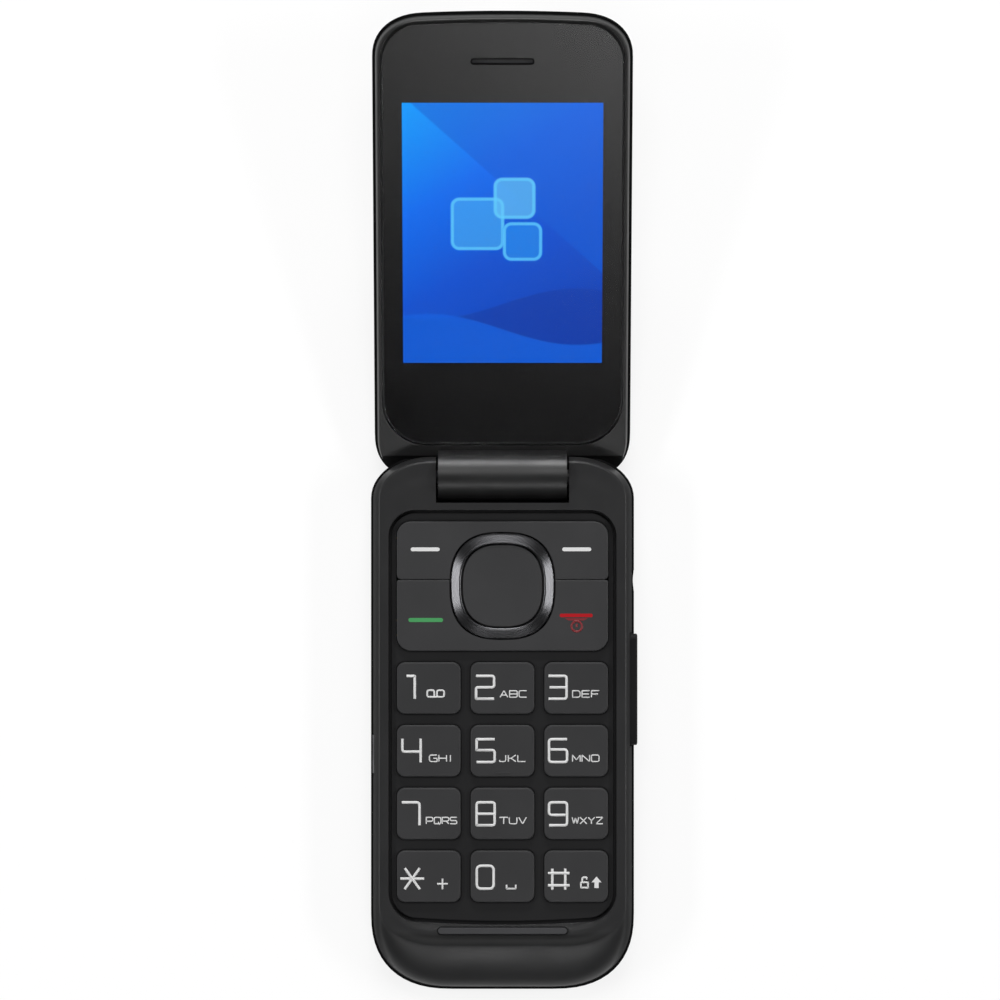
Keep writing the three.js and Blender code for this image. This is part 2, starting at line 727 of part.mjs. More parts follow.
function rearHousing() {
  const lower = lowerShell(0, 0);
  const band = cut(lower, solid(box(-baseLength, baseLength, -baseLength, coverEdgeY + partingGap,
    -overrun, coverTop + partingGap)));
  const core = cut(lowerShell(innerInset, coverWall + seatGap), solid(box(-baseLength, baseLength,
    cavityTopY, baseLength, -overrun, baseThickness)));
  const lip = solid(prism(outline({
    halfWidth: baseHalfWidth - innerInset - seatGap,
    top: cavityTopY - seatGap,
    bottom: bandStep + shellWall * 3 + seatGap - baseHalfLength,
    topCorner: [boardCorner, boardCorner],
    bottomCorner: [deckChinCornerX, deckChinCornerY],
  }), coverTop, trayTop));
  const pocket = solid(prism(outline({
    halfWidth: pocketHalfWidth,
    top: cavityTopY - seatGap - bayWall,
    bottom: bandStep + pocketInset + shellWall - baseHalfLength,
    topCorner: [boardCorner, boardCorner],
    bottomCorner: [deckChinCornerX, deckChinCornerY],
  }), trayFloor, trayTop + overrun));
  const bay = box(-bayHalfWidth, bayHalfWidth, bayFootY, bayTopY, -overrun, bayCeiling);
  const bayBlock = box(-bayHalfWidth - bayWall, bayHalfWidth + bayWall, bayFootY - bayWall,
    simTopY + bayWall, 0, trayTop);
  const simPocket = box(-simHalfWidth - seatGap, simHalfWidth + seatGap, simBottomY, simTopY,
    -overrun, bayCeiling);
  const contactSlot = box(contactX - contactLength / 2 - seatGap, contactX + contactLength / 2 + seatGap,
    bayTopY - overrun, contactY + contactWidth / 2 + seatGap, coverWall, baseThickness);
  const hollows = cut(pocket, solid(bayBlock));
  let housing = cut(join(band, core, lip), hollows);
  for (const { x, y } of footScrewPlaces) {
    housing = join(housing, solid(rodZ(bossRadius + seatGap, x, y, trayFloor - layerGap, partingHeight)));
  }
  housing = cut(housing, solid(bay), solid(simPocket), solid(contactSlot), jackHole, usbOpening, notch);
  housing = housing.intersect(ears);
  for (const { x, y, head } of screwPlaces) {
    const shankBore = rodZ(clearBore, x, y, -overrun, baseThickness, screwSides);
    const headWell = rodZ(headBore, x, y, -overrun, head + screwHeadHeight + seatGap, screwSides);
    housing = cut(housing, solid(shankBore), solid(headWell));
  }
  for (let slot = 0; slot < speakerSlotCount; slot += 1) {
    const y = shieldY + (slot - (speakerSlotCount - 1) / 2) * speakerSlotPitch;
    const opening = prism(pill(speakerSlotLength / 2, speakerSlotWidth), -overrun, trayFloor + overrun);
    housing = cut(housing, solid(opening.translate(speakerX, y, 0)));
  }
  return housing;
}

function batteryCover() {
  const skin = cut(lowerShell(0, 0), lowerShell(coverWall, coverWall));
  const keep = solid(box(-baseLength, baseLength, -baseLength, coverEdgeY, -overrun, coverTop));
  return skin.intersect(keep);
}

piece(phone, 'front_housing', frontHousing(), housingPlastic);
piece(phone, 'rear_housing', rearHousing(), housingPlastic);
piece(phone, 'battery_cover', batteryCover(), housingPlastic);

// Keypad places: three columns by four rows, and the domes under every key
const keyNames = [
  'key_1', 'key_2', 'key_3', 'key_4', 'key_5', 'key_6',
  'key_7', 'key_8', 'key_9', 'key_star', 'key_0', 'key_hash',
];
const keyPlaces = keyNames.map((name, index) => ({
  name,
  x: (index % keyColumns - (keyColumns - 1) / 2) * keyPitchX,
  y: firstRowY - Math.floor(index / keyColumns) * keyPitchY,
}));
const ringDomeReach = ringHalfHeight - ringDomeInset;
const domePlaces = [
  ...keyPlaces,
  { x: 0, y: ringY },
  { x: -ringDomeReach, y: ringY },
  { x: ringDomeReach, y: ringY },
  { x: 0, y: ringY - ringDomeReach },
  { x: 0, y: ringY + ringDomeReach },
  { x: -clusterDomeX, y: (clusterTopY + seamY) / 2 },
  { x: clusterDomeX, y: (clusterTopY + seamY) / 2 },
  { x: -clusterDomeX, y: (clusterBottomY + seamY) / 2 },
  { x: clusterDomeX, y: (clusterBottomY + seamY) / 2 },
];

function keyCap() {
  const plan = (grow) => oblong(keyWidth / 2 + grow, -keyHeight / 2 - grow, keyHeight / 2 + grow,
    keyCorner + grow);
  return loft([
    { z: flangeBottom, points: plan(keyFlange) },
    { z: flangeTop, points: plan(keyFlange) },
    { z: flangeTop, points: plan(0) },
    { z: keyTop - keyBevelDrop, points: plan(0) },
    { z: keyTop, points: plan(-keyBevel) },
  ]);
}

function tactileKeyCap() {
  const barY = tactileBarInset - keyHeight / 2;
  const bar = box(-tactileBarLength / 2, tactileBarLength / 2, barY - tactileBarWidth / 2,
    barY + tactileBarWidth / 2, keyTop - keyBevelDrop, keyTop + tactileBarHeight);
  return join(solid(keyCap()), solid(bar));
}

for (const { name, x, y } of keyPlaces) {
  const shape = name === 'key_5' ? tactileKeyCap() : keyCap();
  piece(phone, name, shape, keyPlastic).position.set(x, y, 0);
}

function clusterPlan(grow) {
  return oblong(clusterHalfWidth + grow, clusterBottomY - grow, clusterTopY + grow,
    clusterCorner + grow, cornerSteps);
}

function functionPlate(bottom, top, seamCorner) {
  const corner = [seamCorner, seamCorner];
  const from = keyTop - plateThickness;
  const layer = (z, draw) => ({
    z,
    points: outline({
      halfWidth: clusterHalfWidth - draw,
      bottom: bottom + draw,
      top: top - draw,
      topCorner: corner,
      bottomCorner: corner,
      edges: 1,
    }),
  });
  const ringHole = loft([
    { z: from - overrun, points: squircle(ringHalfWidth, ringHalfHeight, -rockGap) },
    { z: baseThickness + overrun, points: squircle(ringHalfWidth, ringHalfHeight, -rockGap) },
  ]).translate(0, ringY, 0);
  const cluster = (z, draw) => ({ z, points: clusterPlan(-draw) });
  const levels = [[from, 0], [keyTop - keyBevelDrop, 0], [keyTop, keyBevel]];
  const strip = solid(loft(levels.map(([z, draw]) => layer(z, draw))));
  const whole = solid(loft(levels.map(([z, draw]) => cluster(z, draw))));
  return cut(strip.intersect(whole), solid(ringHole));
}

piece(phone, 'soft_keys', functionPlate(seamY + clusterSeam / 2, clusterTopY, softKeyCorner),
  keyPlastic);
piece(phone, 'call_end_keys', functionPlate(clusterBottomY, seamY - clusterSeam / 2, callKeyCorner),
  keyPlastic);

// Navigation ring: a metallised squircle ring that falls away to its outer edge
const ringTop = keyTop + ringProud;
const ringBottom = ringTop - ringHeight;

function navRing() {
  const plan = (inset) => squircle(ringHalfWidth, ringHalfHeight, inset);
  const outside = solid(loft([
    { z: ringBottom, points: plan(0) },
    { z: ringTop - ringSlopeDrop, points: plan(0) },
    { z: ringTop, points: plan(ringSlope) },
  ]));
  const inside = solid(loft([
    { z: ringBottom - overrun, points: plan(ringWidth) },
    { z: ringTop - ringInnerBevel, points: plan(ringWidth) },
    { z: ringTop, points: plan(ringWidth - ringInnerBevel) },
    { z: ringTop + overrun, points: plan(ringWidth - ringInnerBevel) },
  ]));
  return cut(outside, inside);
}

function okKey() {
  const plan = (inset) => squircle(ringHalfWidth - ringWidth, ringHalfHeight - ringWidth, okKeyGap + inset);
  return loft([
    { z: ringBottom, points: plan(0) },
    { z: keyTop - keyBevelDrop, points: plan(0) },
    { z: keyTop, points: plan(keyBevel) },
  ]);
}

function navCollar() {
  const bottom = ringBottom - rockGap - collarThickness;
  const outer = squircle(ringHalfWidth, ringHalfHeight, rockGap);
  const inner = squircle(ringHalfWidth, ringHalfHeight, rockGap + collarWidth);
  return prism(outer, bottom, bottom + collarThickness, [inner.reverse()]);
}

piece(phone, 'nav_ring', navRing(), ringMetal).position.y = ringY;
piece(phone, 'ok_key', okKey(), keyPlastic).position.y = ringY;
piece(phone, 'nav_collar', navCollar(), silicone).position.y = ringY;

function keypadPanel() {
  const plan = outline({
    halfWidth: windowHalfWidth + panelLip,
    top: windowTopY + panelLip,
    bottom: windowBottomY - panelLip,
    topCorner: [windowCorner, windowCorner],
    bottomCorner: [windowCorner, windowCorner],
    bottomBow: windowBow,
  });
  const holes = keyPlaces.map(({ x, y }) => {
    const hole = oblong(keyWidth / 2 + keyGap, y - keyHeight / 2 - keyGap, y + keyHeight / 2 + keyGap,
      keyCorner + keyGap);
    return hole.map((point) => new THREE.Vector2(point.x + x, point.y));
  });
  holes.push(clusterPlan(keyGap));
  const plate = prism(plan, panelBottom, panelTop, holes.map((hole) => hole.reverse()));
  const groove = prism(windowPlan(0), panelTop - panelGrooveDepth, panelTop + overrun,
    [windowPlan(-panelGrooveWidth).reverse()]);
  return cut(solid(plate), solid(groove));
}

piece(phone, 'keypad_panel', keypadPanel(), panelPlastic);

// Layers under the keys: silicone mat with nubs, dome sheet and main board
const matTopY = windowTopY - windowSideMargin / 2;
const matBottomY = windowBottomY + windowSideMargin / 2;

function keypadMat() {
  let mat = solid(prism(oblong(matHalfWidth, matBottomY, matTopY, matCorner), matBottom, matTop));
  for (const { x, y } of domePlaces) {
    mat = join(mat, solid(rodZ(nubRadius, x, y, nubBottom, matBottom + matThickness / 2, domeSides)));
  }
  return mat;
}

function domeSheet() {
  let sheet = solid(prism(oblong(matHalfWidth, matBottomY, matTopY, matCorner), domeSheetBottom,
    domeSheetTop));
  for (const { x, y } of domePlaces) {
    const dome = new THREE.CylinderGeometry(domeRadius / 2, domeRadius, domeHeight + domeSheetThickness / 2,
      domeSides);
    dome.rotateX(Math.PI / 2).translate(x, y, domeSheetTop + (domeHeight - domeSheetThickness / 2) / 2);
    sheet = join(sheet, solid(dome));
  }
  return sheet;
}

const microphoneY = microphoneFromEnd - baseHalfLength;
const jackInnerX = baseHalfWidth - shellWall - jackLength;
const usbInnerX = usbRecess + usbDepth - baseHalfWidth;

function mainBoard() {
  const plan = oblong(boardHalfWidth, bayFootY - bayWall, cavityTopY - seatGap, boardCorner);
  const jackNotch = box(jackInnerX - seatGap, baseHalfWidth, jackY - jackBodyHalf - seatGap,
    jackY + jackBodyHalf + seatGap, boardBottom - overrun, boardTop + overrun);
  const usbNotch = box(-baseHalfWidth, usbInnerX + seatGap, usbY - usbWidth / 2 - seatGap,
    usbY + usbWidth / 2 + seatGap, boardBottom - overrun, boardTop + overrun);
  const foot = box(-antennaHalfWidth, antennaHalfWidth, microphoneY - microphoneRadius, bayFootY,
    boardBottom, boardTop);
  const board = join(solid(prism(plan, boardBottom, boardTop)), solid(foot));
  return cut(board, solid(jackNotch), solid(usbNotch));
}

piece(phone, 'keypad_mat', keypadMat(), silicone);
piece(phone, 'dome_sheet', domeSheet(), flexFilm);
piece(phone, 'main_board', mainBoard(), boardLaminate);

// Battery bay
const batteryBottom = coverWall + seatGap;
const battery = prism(oblong(batteryHalfWidth, bayFootY + seatGap, bayFootY + seatGap + batteryLength,
  batteryCorner), batteryBottom, batteryBottom + batteryThickness);
piece(phone, 'battery', battery, batteryWrap);
piece(phone, 'battery_connector', box(contactX - contactLength / 2, contactX + contactLength / 2,
  contactY - contactWidth / 2, contactY + contactWidth / 2, trayFloor, boardBottom - layerGap), steel);
piece(phone, 'sim_socket', box(-simHalfWidth, simHalfWidth, simBottomY + seatGap, simTopY - seatGap,
  bayCeiling - seatGap - simThickness, bayCeiling - seatGap), steel);

// Loudspeaker, shield, motor, antenna and microphone
piece(phone, 'shield_can', box(shieldX - shieldHalfWidth, shieldX + shieldHalfWidth,
  shieldY - shieldLength / 2, shieldY + shieldLength / 2,
  boardBottom - layerGap - shieldThickness, boardBottom - layerGap), steel);
piece(phone, 'loudspeaker', rodZ(speakerRadius, speakerX, shieldY, trayFloor + layerGap,
  trayFloor + layerGap + speakerThickness, speakerSides), magnetMetal);
const sidePocketX = (bayHalfWidth + bayWall + pocketHalfWidth) / 2;
piece(phone, 'vibration_motor', rodY(motorRadius, sidePocketX, motorY - motorLength / 2,
  motorY + motorLength / 2, trayFloor + layerGap + motorRadius), steel);
const antennaY = bayFootY - bayWall - seatGap - antennaLength / 2;
const antennaTop = boardBottom - layerGap;
piece(phone, 'antenna', box(-antennaHalfWidth, antennaHalfWidth, antennaY - antennaLength / 2,
  antennaY + antennaLength / 2, antennaTop - antennaThickness, antennaTop), flexFilm);
piece(phone, 'microphone', rodZ(microphoneRadius, 0, microphoneY, boardTop + layerGap,
  boardTop + layerGap + microphoneHeight), steel);

// Micro-USB socket: a folded shell with a tongue
function usbPort() {
  const outerX = usbRecess - baseHalfWidth;
  const shell = box(outerX, usbInnerX, usbY - usbWidth / 2, usbY + usbWidth / 2, usbBottom,
    usbBottom + usbHeight);
  const mouth = box(outerX - overrun, usbInnerX - usbShell, usbY - usbWidth / 2 + usbShell,
    usbY + usbWidth / 2 - usbShell, usbBottom + usbShell, usbBottom + usbHeight - usbShell);
  const middle = usbBottom + usbHeight / 2;
  const tongue = box(outerX + usbTongue, usbInnerX - usbShell / 2, usbY - usbWidth / 4,
    usbY + usbWidth / 4, middle - usbTongue / 2, middle + usbTongue / 2);
  return join(cut(solid(shell), solid(mouth)), solid(tongue));
}

// Headset socket: a square body with a round bore
function audioJack() {
  const outerX = baseHalfWidth - shellWall;
  const body = box(jackInnerX, pocketHalfWidth - seatGap, jackY - jackBodyHalf, jackY + jackBodyHalf,
    jackZ - jackBodyHalf, jackZ + jackBodyHalf);
  const nose = rodX(jackBoreRadius + jackWall / 2 - seatGap, jackInnerX + jackWall, outerX, jackY, jackZ);
  const bore = rodX(jackBoreRadius, jackInnerX + jackWall, baseHalfWidth + overrun, jackY, jackZ);
  return cut(join(solid(body), solid(nose)), solid(bore));
}

piece(phone, 'usb_port', usbPort(), steel);
piece(phone, 'audio_jack', audioJack(), blackRubber);

// Volume key and the small board behind it
const volumeInnerX = baseHalfWidth + volumeProud - volumeDepth - keyBevel;
const sideBoardX = volumeInnerX - rockGap - sideSwitchHeight;

function volumeKey() {
  const plan = (draw) => oblong(volumeHeight / 2 - draw, -volumeLength / 2 + draw, volumeLength / 2 - draw,
    volumeHeight / 2 - draw);
  const cap = loft([
    { z: volumeInnerX, points: plan(0) },
    { z: baseHalfWidth + volumeProud - keyBevelDrop, points: plan(0) },
    { z: baseHalfWidth + volumeProud, points: plan(keyBevel) },
  ]);
  return cap.rotateY(Math.PI / 2).translate(0, volumeY, volumeZ);
}

function sideKeyBoard() {
  const strip = solid(box(sideBoardX - sideBoardThickness, sideBoardX, volumeY - sideBoardLength / 2,
    volumeY + sideBoardLength / 2, volumeZ - sideBoardHeight / 2, volumeZ + sideBoardHeight / 2));
  const switches = [-1, 1].map((side) => {
    const y = volumeY + side * sideSwitchPitch / 2;
    return solid(box(sideBoardX - sideBoardThickness / 2, sideBoardX + sideSwitchHeight,
      y - sideSwitchLength / 2, y + sideSwitchLength / 2,
      volumeZ - sideBoardHeight / 4, volumeZ + sideBoardHeight / 4));
  });
  return join(strip, ...switches);
}

piece(phone, 'volume_key', volumeKey(), keyPlastic);
piece(phone, 'side_key_board', sideKeyBoard(), boardLaminate);

const bumper = prism(pill(bumperHalfLength, bumperWidth), baseThickness - bumperDepth + layerGap,
  baseThickness + bumperProud).translate(0, bumperY, 0);
piece(phone, 'lid_bumper', bumper, blackRubber);

// Screws: a flat head and a plain shank, tip upwards
function screw(x, y, headZ, tipZ, direction) {
  const headEnd = headZ + direction * screwHeadHeight;
  const head = rodZ(screwHeadRadius, x, y, Math.min(headZ, headEnd), Math.max(headZ, headEnd), screwSides);
  const shank = rodZ(screwRadius, x, y, Math.min(headZ, tipZ), Math.max(headZ, tipZ), domeSides);
  return join(solid(head), solid(shank));
}

for (const { name, x, y, head } of screwPlaces) {
  piece(phone, name, screw(x, y, head, screwTip, 1), steel);
}

// Hinge pieces on the axis: a solid pin in the left ear, a hollow sleeve in the right one
const pinOuterX = notchHalfWidth + pinReach;
const moduleEndX = seatGap * 2 - barrelHalfLength;
const pinInnerX = moduleEndX + pinSocket - seatGap;
piece(phone, 'hinge_pin', rodX(pinRadius, -pinOuterX, pinInnerX, hingeY, hingeZ), steel);

function hingeSleeve() {
  const innerX = pinOuterX - sleeveLength;
  const outside = rodX(pinRadius, innerX, pinOuterX, hingeY, hingeZ);
  const bore = rodX(sleeveBoreRadius, innerX - overrun, pinOuterX + overrun, hingeY, hingeZ);
  return cut(solid(outside), solid(bore));
}

piece(phone, 'hinge_sleeve', hingeSleeve(), housingPlastic);

// Lid outlines
function lidPlan(side, far) {
  return outline({
    halfWidth: lidHalfWidth - side,
    top: lidLength - far,
    bottom: side / 2 - lidTail,
    topCorner: [lidFarCornerX - side, lidFarCornerY - far],
    bottomCorner: [lidNearCornerX - side, lidNearCornerY - side],
    topPower: lidFarPower,
    bottomPower: lidNearPower,
    topBow: lidBow,
  });
}

function lensPlan(grow) {
  return outline({
    halfWidth: lensHalfWidth + grow,
    top: lensEnd + grow,
    bottom: lensStart - grow,
    topCorner: [lensFarCorner + grow, lensFarCorner + grow],
    bottomCorner: [lensNearCorner + grow, lensNearCorner + grow],
    topBow: lidBow,
  });
}

// Under the ears the lid is hollowed about the hinge axis, beside the barrel only
function earRelief() {
  const innerX = barrelHalfLength + barrelSideGap / 2;
  const outerX = lidHalfWidth + overrun;
  const left = rodX(earRadius + lidEarGap, -outerX, -innerX, 0, 0, ringSides);
  const right = rodX(earRadius + lidEarGap, innerX, outerX, 0, 0, ringSides);
  return join(solid(left), solid(right));
}

// The lid's tail rises to clear the table when the lid lies open
function tailProfile() {
  const tilt = THREE.MathUtils.degToRad(restTiltDegrees);
  const startZ = (floorClearance - hingeZ + lidTail * Math.sin(tilt)) / Math.cos(tilt);
  const start = new THREE.Vector2(-lidTail - overrun, startZ + overrun * Math.tan(tilt));
  const middle = new THREE.Vector2(-lidTail + (startZ - lidBack) / Math.tan(tilt), lidBack);
  const end = new THREE.Vector2(middle.x * 2, lidBack);
  const curve = new THREE.QuadraticBezierCurve(start, middle, end);
  const points = curve.getPoints(tailSteps);
  points.push(new THREE.Vector2(lidLength + overrun, lidBack));
  points.push(new THREE.Vector2(lidLength + overrun, overrun));
  points.push(new THREE.Vector2(-lidTail - overrun, overrun));
  return solid(sideProfile(points, -lidHalfWidth - overrun, lidHalfWidth + overrun));
}

const lidHollowPlan = outline({
  halfWidth: lidHalfWidth - lidWall * 2,
  top: lidLength - lidWall * 2,
  bottom: lidHollowStart,
  topCorner: [lidFarCornerX - lidWall, lidFarCornerY - lidWall],
  bottomCorner: [lidNearCornerX / 2, lidNearCornerY / 2],
  topPower: lidFarPower,
  topBow: lidBow,
});
const lidScrewPlaces = [
  { name: 'lid_screw_left', x: -lidScrewX },
  { name: 'lid_screw_right', x: lidScrewX },
];
const lidScrewTip = lidFloor - lidWall / 2;
const flexRunZ = lidParting + flexThickness + seatGap;
const flexX = barrelHalfLength - flexChamber - flexWidth / 2 + seatGap * 2;
const moduleLength = flexX - flexWidth / 2 - moduleFlexGap - moduleEndX;

// Inner half of the lid, with the barrel, the lens recess and the display window
function lidInnerFrame() {
  const rings = [];
  for (let step = 0; step <= edgeRounds; step += 1) {
    const angle = THREE.MathUtils.degToRad(90 * step / edgeRounds);
    const drawn = THREE.MathUtils.lerp(bandStep, lidRimInset, 1 - Math.cos(angle));
    const z = lidParting + (lidFace - lidParting) * Math.sin(angle);
    rings.push({ z, points: lidPlan(drawn, drawn) });
  }
  const barrel = solid(rodX(barrelRadius, -barrelHalfLength, barrelHalfLength, 0, 0, ringSides));
  const shoulder = solid(box(-barrelHalfLength, barrelHalfLength, 0, barrelRadius, lidFace - framePlate, 0));
  const recess = solid(loft([
    { z: plateTop, points: lensPlan(lensGap) },
    { z: lidFace - lensGrooveDrop, points: lensPlan(lensGap) },
    { z: lidFace, points: lensPlan(lensGap + lensGroove) },
    { z: lidFace + lensGrooveDrop, points: lensPlan(lensGap + lensGroove) },
  ]));
  const hollow = solid(prism(lidHollowPlan, lidParting - overrun, plateBottom));
  const displayWindow = box(-lcdHalfWidth - seatGap, lcdHalfWidth + seatGap, lcdStart - seatGap,
    lcdEnd + seatGap, plateBottom - overrun, 0);
  const earHole = box(-earSlotLength / 2, earSlotLength / 2, earSlotY - earSlotWidth / 2,
    earSlotY + earSlotWidth / 2, plateBottom - overrun, 0);
  const moduleBore = rodX(moduleRadius + seatGap, -barrelHalfLength - overrun,
    moduleEndX + moduleLength + seatGap, 0, 0);
  const sleeveBore = rodX(pinRadius + seatGap, barrelHalfLength - flexChamber - flexWidth,
    barrelHalfLength + overrun, 0, 0);
  const flexDrop = box(flexX - flexWidth / 2 - seatGap, flexX + flexWidth / 2 + seatGap, -flexThickness * 2,
    flexThickness * 2, lidParting - overrun, 0);
  const flexRun = box(flexX - flexWidth / 2 - seatGap, flexX + flexWidth / 2 + seatGap, -flexThickness * 2,
    lidHollowStart + overrun, lidParting - overrun, flexRunZ + flexThickness + seatGap);
  let frame = join(cut(solid(loft(rings)), earRelief()), barrel, shoulder);
  frame = cut(frame, recess, hollow, solid(displayWindow), solid(earHole));
  frame = cut(frame, solid(moduleBore), solid(sleeveBore), solid(flexDrop), solid(flexRun));
  for (const { x } of lidScrewPlaces) {
    const head = rodZ(headBore, x, lidScrewY, plateTop - screwHeadHeight - seatGap, 0, screwSides);
    const shank = rodZ(clearBore, x, lidScrewY, lidParting - overrun, 0, screwSides);
    const post = rodZ(bossRadius + seatGap, x, lidScrewY, lidParting, plateTop - layerGap, screwSides);
    frame = cut(join(frame, solid(post)), solid(head), solid(shank));
  }
  return frame;
}

// Outer half of the lid: a soft back that thins towards the hinge
function lidOuterCover() {
  const rings = [];
  const top = lidParting - partingGap;
  for (let step = edgeRounds; step >= 0; step -= 1) {
    const angle = THREE.MathUtils.degToRad(90 * step / edgeRounds);
    const drawn = lidBackInset * (1 - Math.cos(angle));
    rings.push({ z: top + (lidBack - top) * Math.sin(angle), points: lidPlan(drawn, drawn) });
  }
  const hollow = solid(prism(lidHollowPlan, lidFloor, lidParting + overrun));
  const tail = tailProfile();
  const inner = tail.translate([0, 0, lidWall]);
  const windowSeat = rodZ(cameraWindowRadius + seatGap, 0, cameraY, lidBack - overrun,
    lidBack + cameraWindowThickness + seatGap, speakerSides);
  const cameraHole = rodZ(cameraHalf - seatGap, 0, cameraY, lidBack, lidFloor + overrun, speakerSides);
  let cover = cut(solid(loft(rings)).intersect(tail), hollow.intersect(inner), earRelief());
  for (const { x } of lidScrewPlaces) {
    const boss = rodZ(bossRadius, x, lidScrewY, lidFloor - lidWall / 2, lidParting - partingGap, screwSides);
    cover = join(cover, solid(boss).intersect(tail));
  }
  for (const { x } of lidScrewPlaces) {
    cover = cut(cover, solid(rodZ(clearBore, x, lidScrewY, lidScrewTip, 0, screwSides)));
  }
  return cut(cover, solid(windowSeat), solid(cameraHole));
}

piece(lid, 'lid_inner_frame', lidInnerFrame(), housingPlastic);
piece(lid, 'lid_outer_cover', lidOuterCover(), housingPlastic);

function displayLens() {
  const earHole = pill(earSlotLength / 2, earSlotWidth);
  const hole = earHole.map((point) => new THREE.Vector2(point.x, point.y + earSlotY));
  return prism(lensPlan(0), lensBottom, lensTop, [hole.reverse()]);
}

piece(lid, 'display_lens', displayLens(), lensAcrylic);
piece(lid, 'lcd_module', box(-lcdHalfWidth, lcdHalfWidth, lcdStart, lcdEnd, lcdBottom, lcdTop), screenGlass);
piece(lid, 'lid_circuit_board', prism(oblong(lidBoardHalfWidth, lidBoardStart, lcdEnd, matCorner),
  lidBoardBottom, lidBoardTop), boardLaminate);
piece(lid, 'earpiece_mesh', prism(pill(earSlotLength / 2 - seatGap, earSlotWidth - seatGap * 2),
  plateTop - earMeshThickness, plateTop).translate(0, earSlotY, 0), meshCloth);
piece(lid, 'earpiece_speaker', prism(oblong(earpieceLength / 2, -earpieceWidth / 2, earpieceWidth / 2,
  earpieceWidth / 2), plateBottom - layerGap - earpieceThickness, plateBottom - layerGap)
  .translate(0, earSlotY, 0), magnetMetal);
piece(lid, 'camera_window', rodZ(cameraWindowRadius, 0, cameraY, lidBack + layerGap,
  lidBack + cameraWindowThickness + layerGap, speakerSides), lensAcrylic);
piece(lid, 'camera_module', box(-cameraHalf, cameraHalf, cameraY - cameraHalf, cameraY + cameraHalf,
  lidFloor + layerGap, lidFloor + layerGap + cameraHeight), blackRubber);
piece(lid, 'lid_magnet', box(magnetX - magnetLength / 2, magnetX + magnetLength / 2,
  earSlotY - magnetWidth / 2, earSlotY + magnetWidth / 2,
  plateBottom - layerGap - magnetThickness, plateBottom - layerGap), magnetMetal);

for (const { name, x } of lidScrewPlaces) {
  piece(lid, name, screw(x, lidScrewY, plateTop - layerGap, lidScrewTip + seatGap, -1), steel);
}

// Spring cam cartridge of the hinge, with a socket for the pin
function hingeModule() {
  const can = rodX(moduleRadius, moduleEndX, moduleEndX + moduleLength, 0, 0);
  const socket = rodX(pinRadius + seatGap, moduleEndX - overrun, moduleEndX + pinSocket, 0, 0);
  return cut(solid(can), solid(socket));
}

piece(lid, 'hinge_module', hingeModule(), steel);

// Flexible circuit: rolled along the hinge axis, then flat down the neck to the lid's board
function hingeFlex() {
  const x0 = flexX - flexWidth / 2;
  const x1 = flexX + flexWidth / 2;
  const half = flexThickness / 2;
  const rollEnd = barrelHalfLength + barrelSideGap + pinReach - seatGap;
  const roll = rodX(flexRollRadius, x0, rollEnd, 0, 0, screwSides);
  const drop = box(x0, x1, -half, half, flexRunZ, 0);
  const run = box(x0, x1, -half, lidBoardStart + flexWidth, flexRunZ, flexRunZ + flexThickness);
  const step = box(x0, x1, lidBoardStart + flexWidth - flexThickness, lidBoardStart + flexWidth,
    lidBoardTop + layerGap, flexRunZ + flexThickness);
  return join(solid(roll), solid(drop), solid(run), solid(step));
}

piece(lid, 'hinge_flex_cable', hingeFlex(), flexFilm);

export default phone;
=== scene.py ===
import math

import bmesh
import bpy
from mathutils import Matrix, Vector


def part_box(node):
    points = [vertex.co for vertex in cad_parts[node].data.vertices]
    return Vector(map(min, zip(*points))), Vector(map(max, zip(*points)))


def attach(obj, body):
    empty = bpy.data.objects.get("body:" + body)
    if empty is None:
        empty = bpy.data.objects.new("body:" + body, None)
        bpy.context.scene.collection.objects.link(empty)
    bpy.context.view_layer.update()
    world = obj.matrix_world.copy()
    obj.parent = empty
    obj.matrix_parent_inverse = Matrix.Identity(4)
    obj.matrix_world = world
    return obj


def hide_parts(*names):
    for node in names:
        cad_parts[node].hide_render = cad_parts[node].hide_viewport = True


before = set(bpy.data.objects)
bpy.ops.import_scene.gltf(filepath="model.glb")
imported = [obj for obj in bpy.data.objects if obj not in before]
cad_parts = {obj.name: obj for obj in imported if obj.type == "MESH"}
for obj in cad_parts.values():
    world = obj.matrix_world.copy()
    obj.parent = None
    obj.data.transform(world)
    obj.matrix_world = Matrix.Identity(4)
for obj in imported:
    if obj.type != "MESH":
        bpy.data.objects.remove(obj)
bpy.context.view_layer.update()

bl_info = {
    "name": "Flip phone",
    "version": (1, 0, 0),
    "blender": (4, 5, 0),
    "location": "3D View > Sidebar > Flip phone",
    "description": "Builds the finished surfaces of a flip phone round its packed solids",
    "category": "Object",
}

# Lengths are written in millimetres and turned into metres when a mesh is made
MM = 0.001
# How near two points are merged, in metres
MERGE = 1e-7
hinge_low, hinge_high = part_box("hinge_pin")
HINGE_Y = (hinge_low.y + hinge_high.y) / 2 / MM
HINGE_Z = (hinge_low.z + hinge_high.z) / 2 / MM
REST_TILT = math.radians(15)
LID_PLACE = Matrix.Translation(Vector((0, HINGE_Y, HINGE_Z)) * MM) @ Matrix.Rotation(REST_TILT, 4, "X")

# Base
EAR_RADIUS = 4.5
HALF_WIDTH = 26.0
HALF_LENGTH = HINGE_Y + EAR_RADIUS
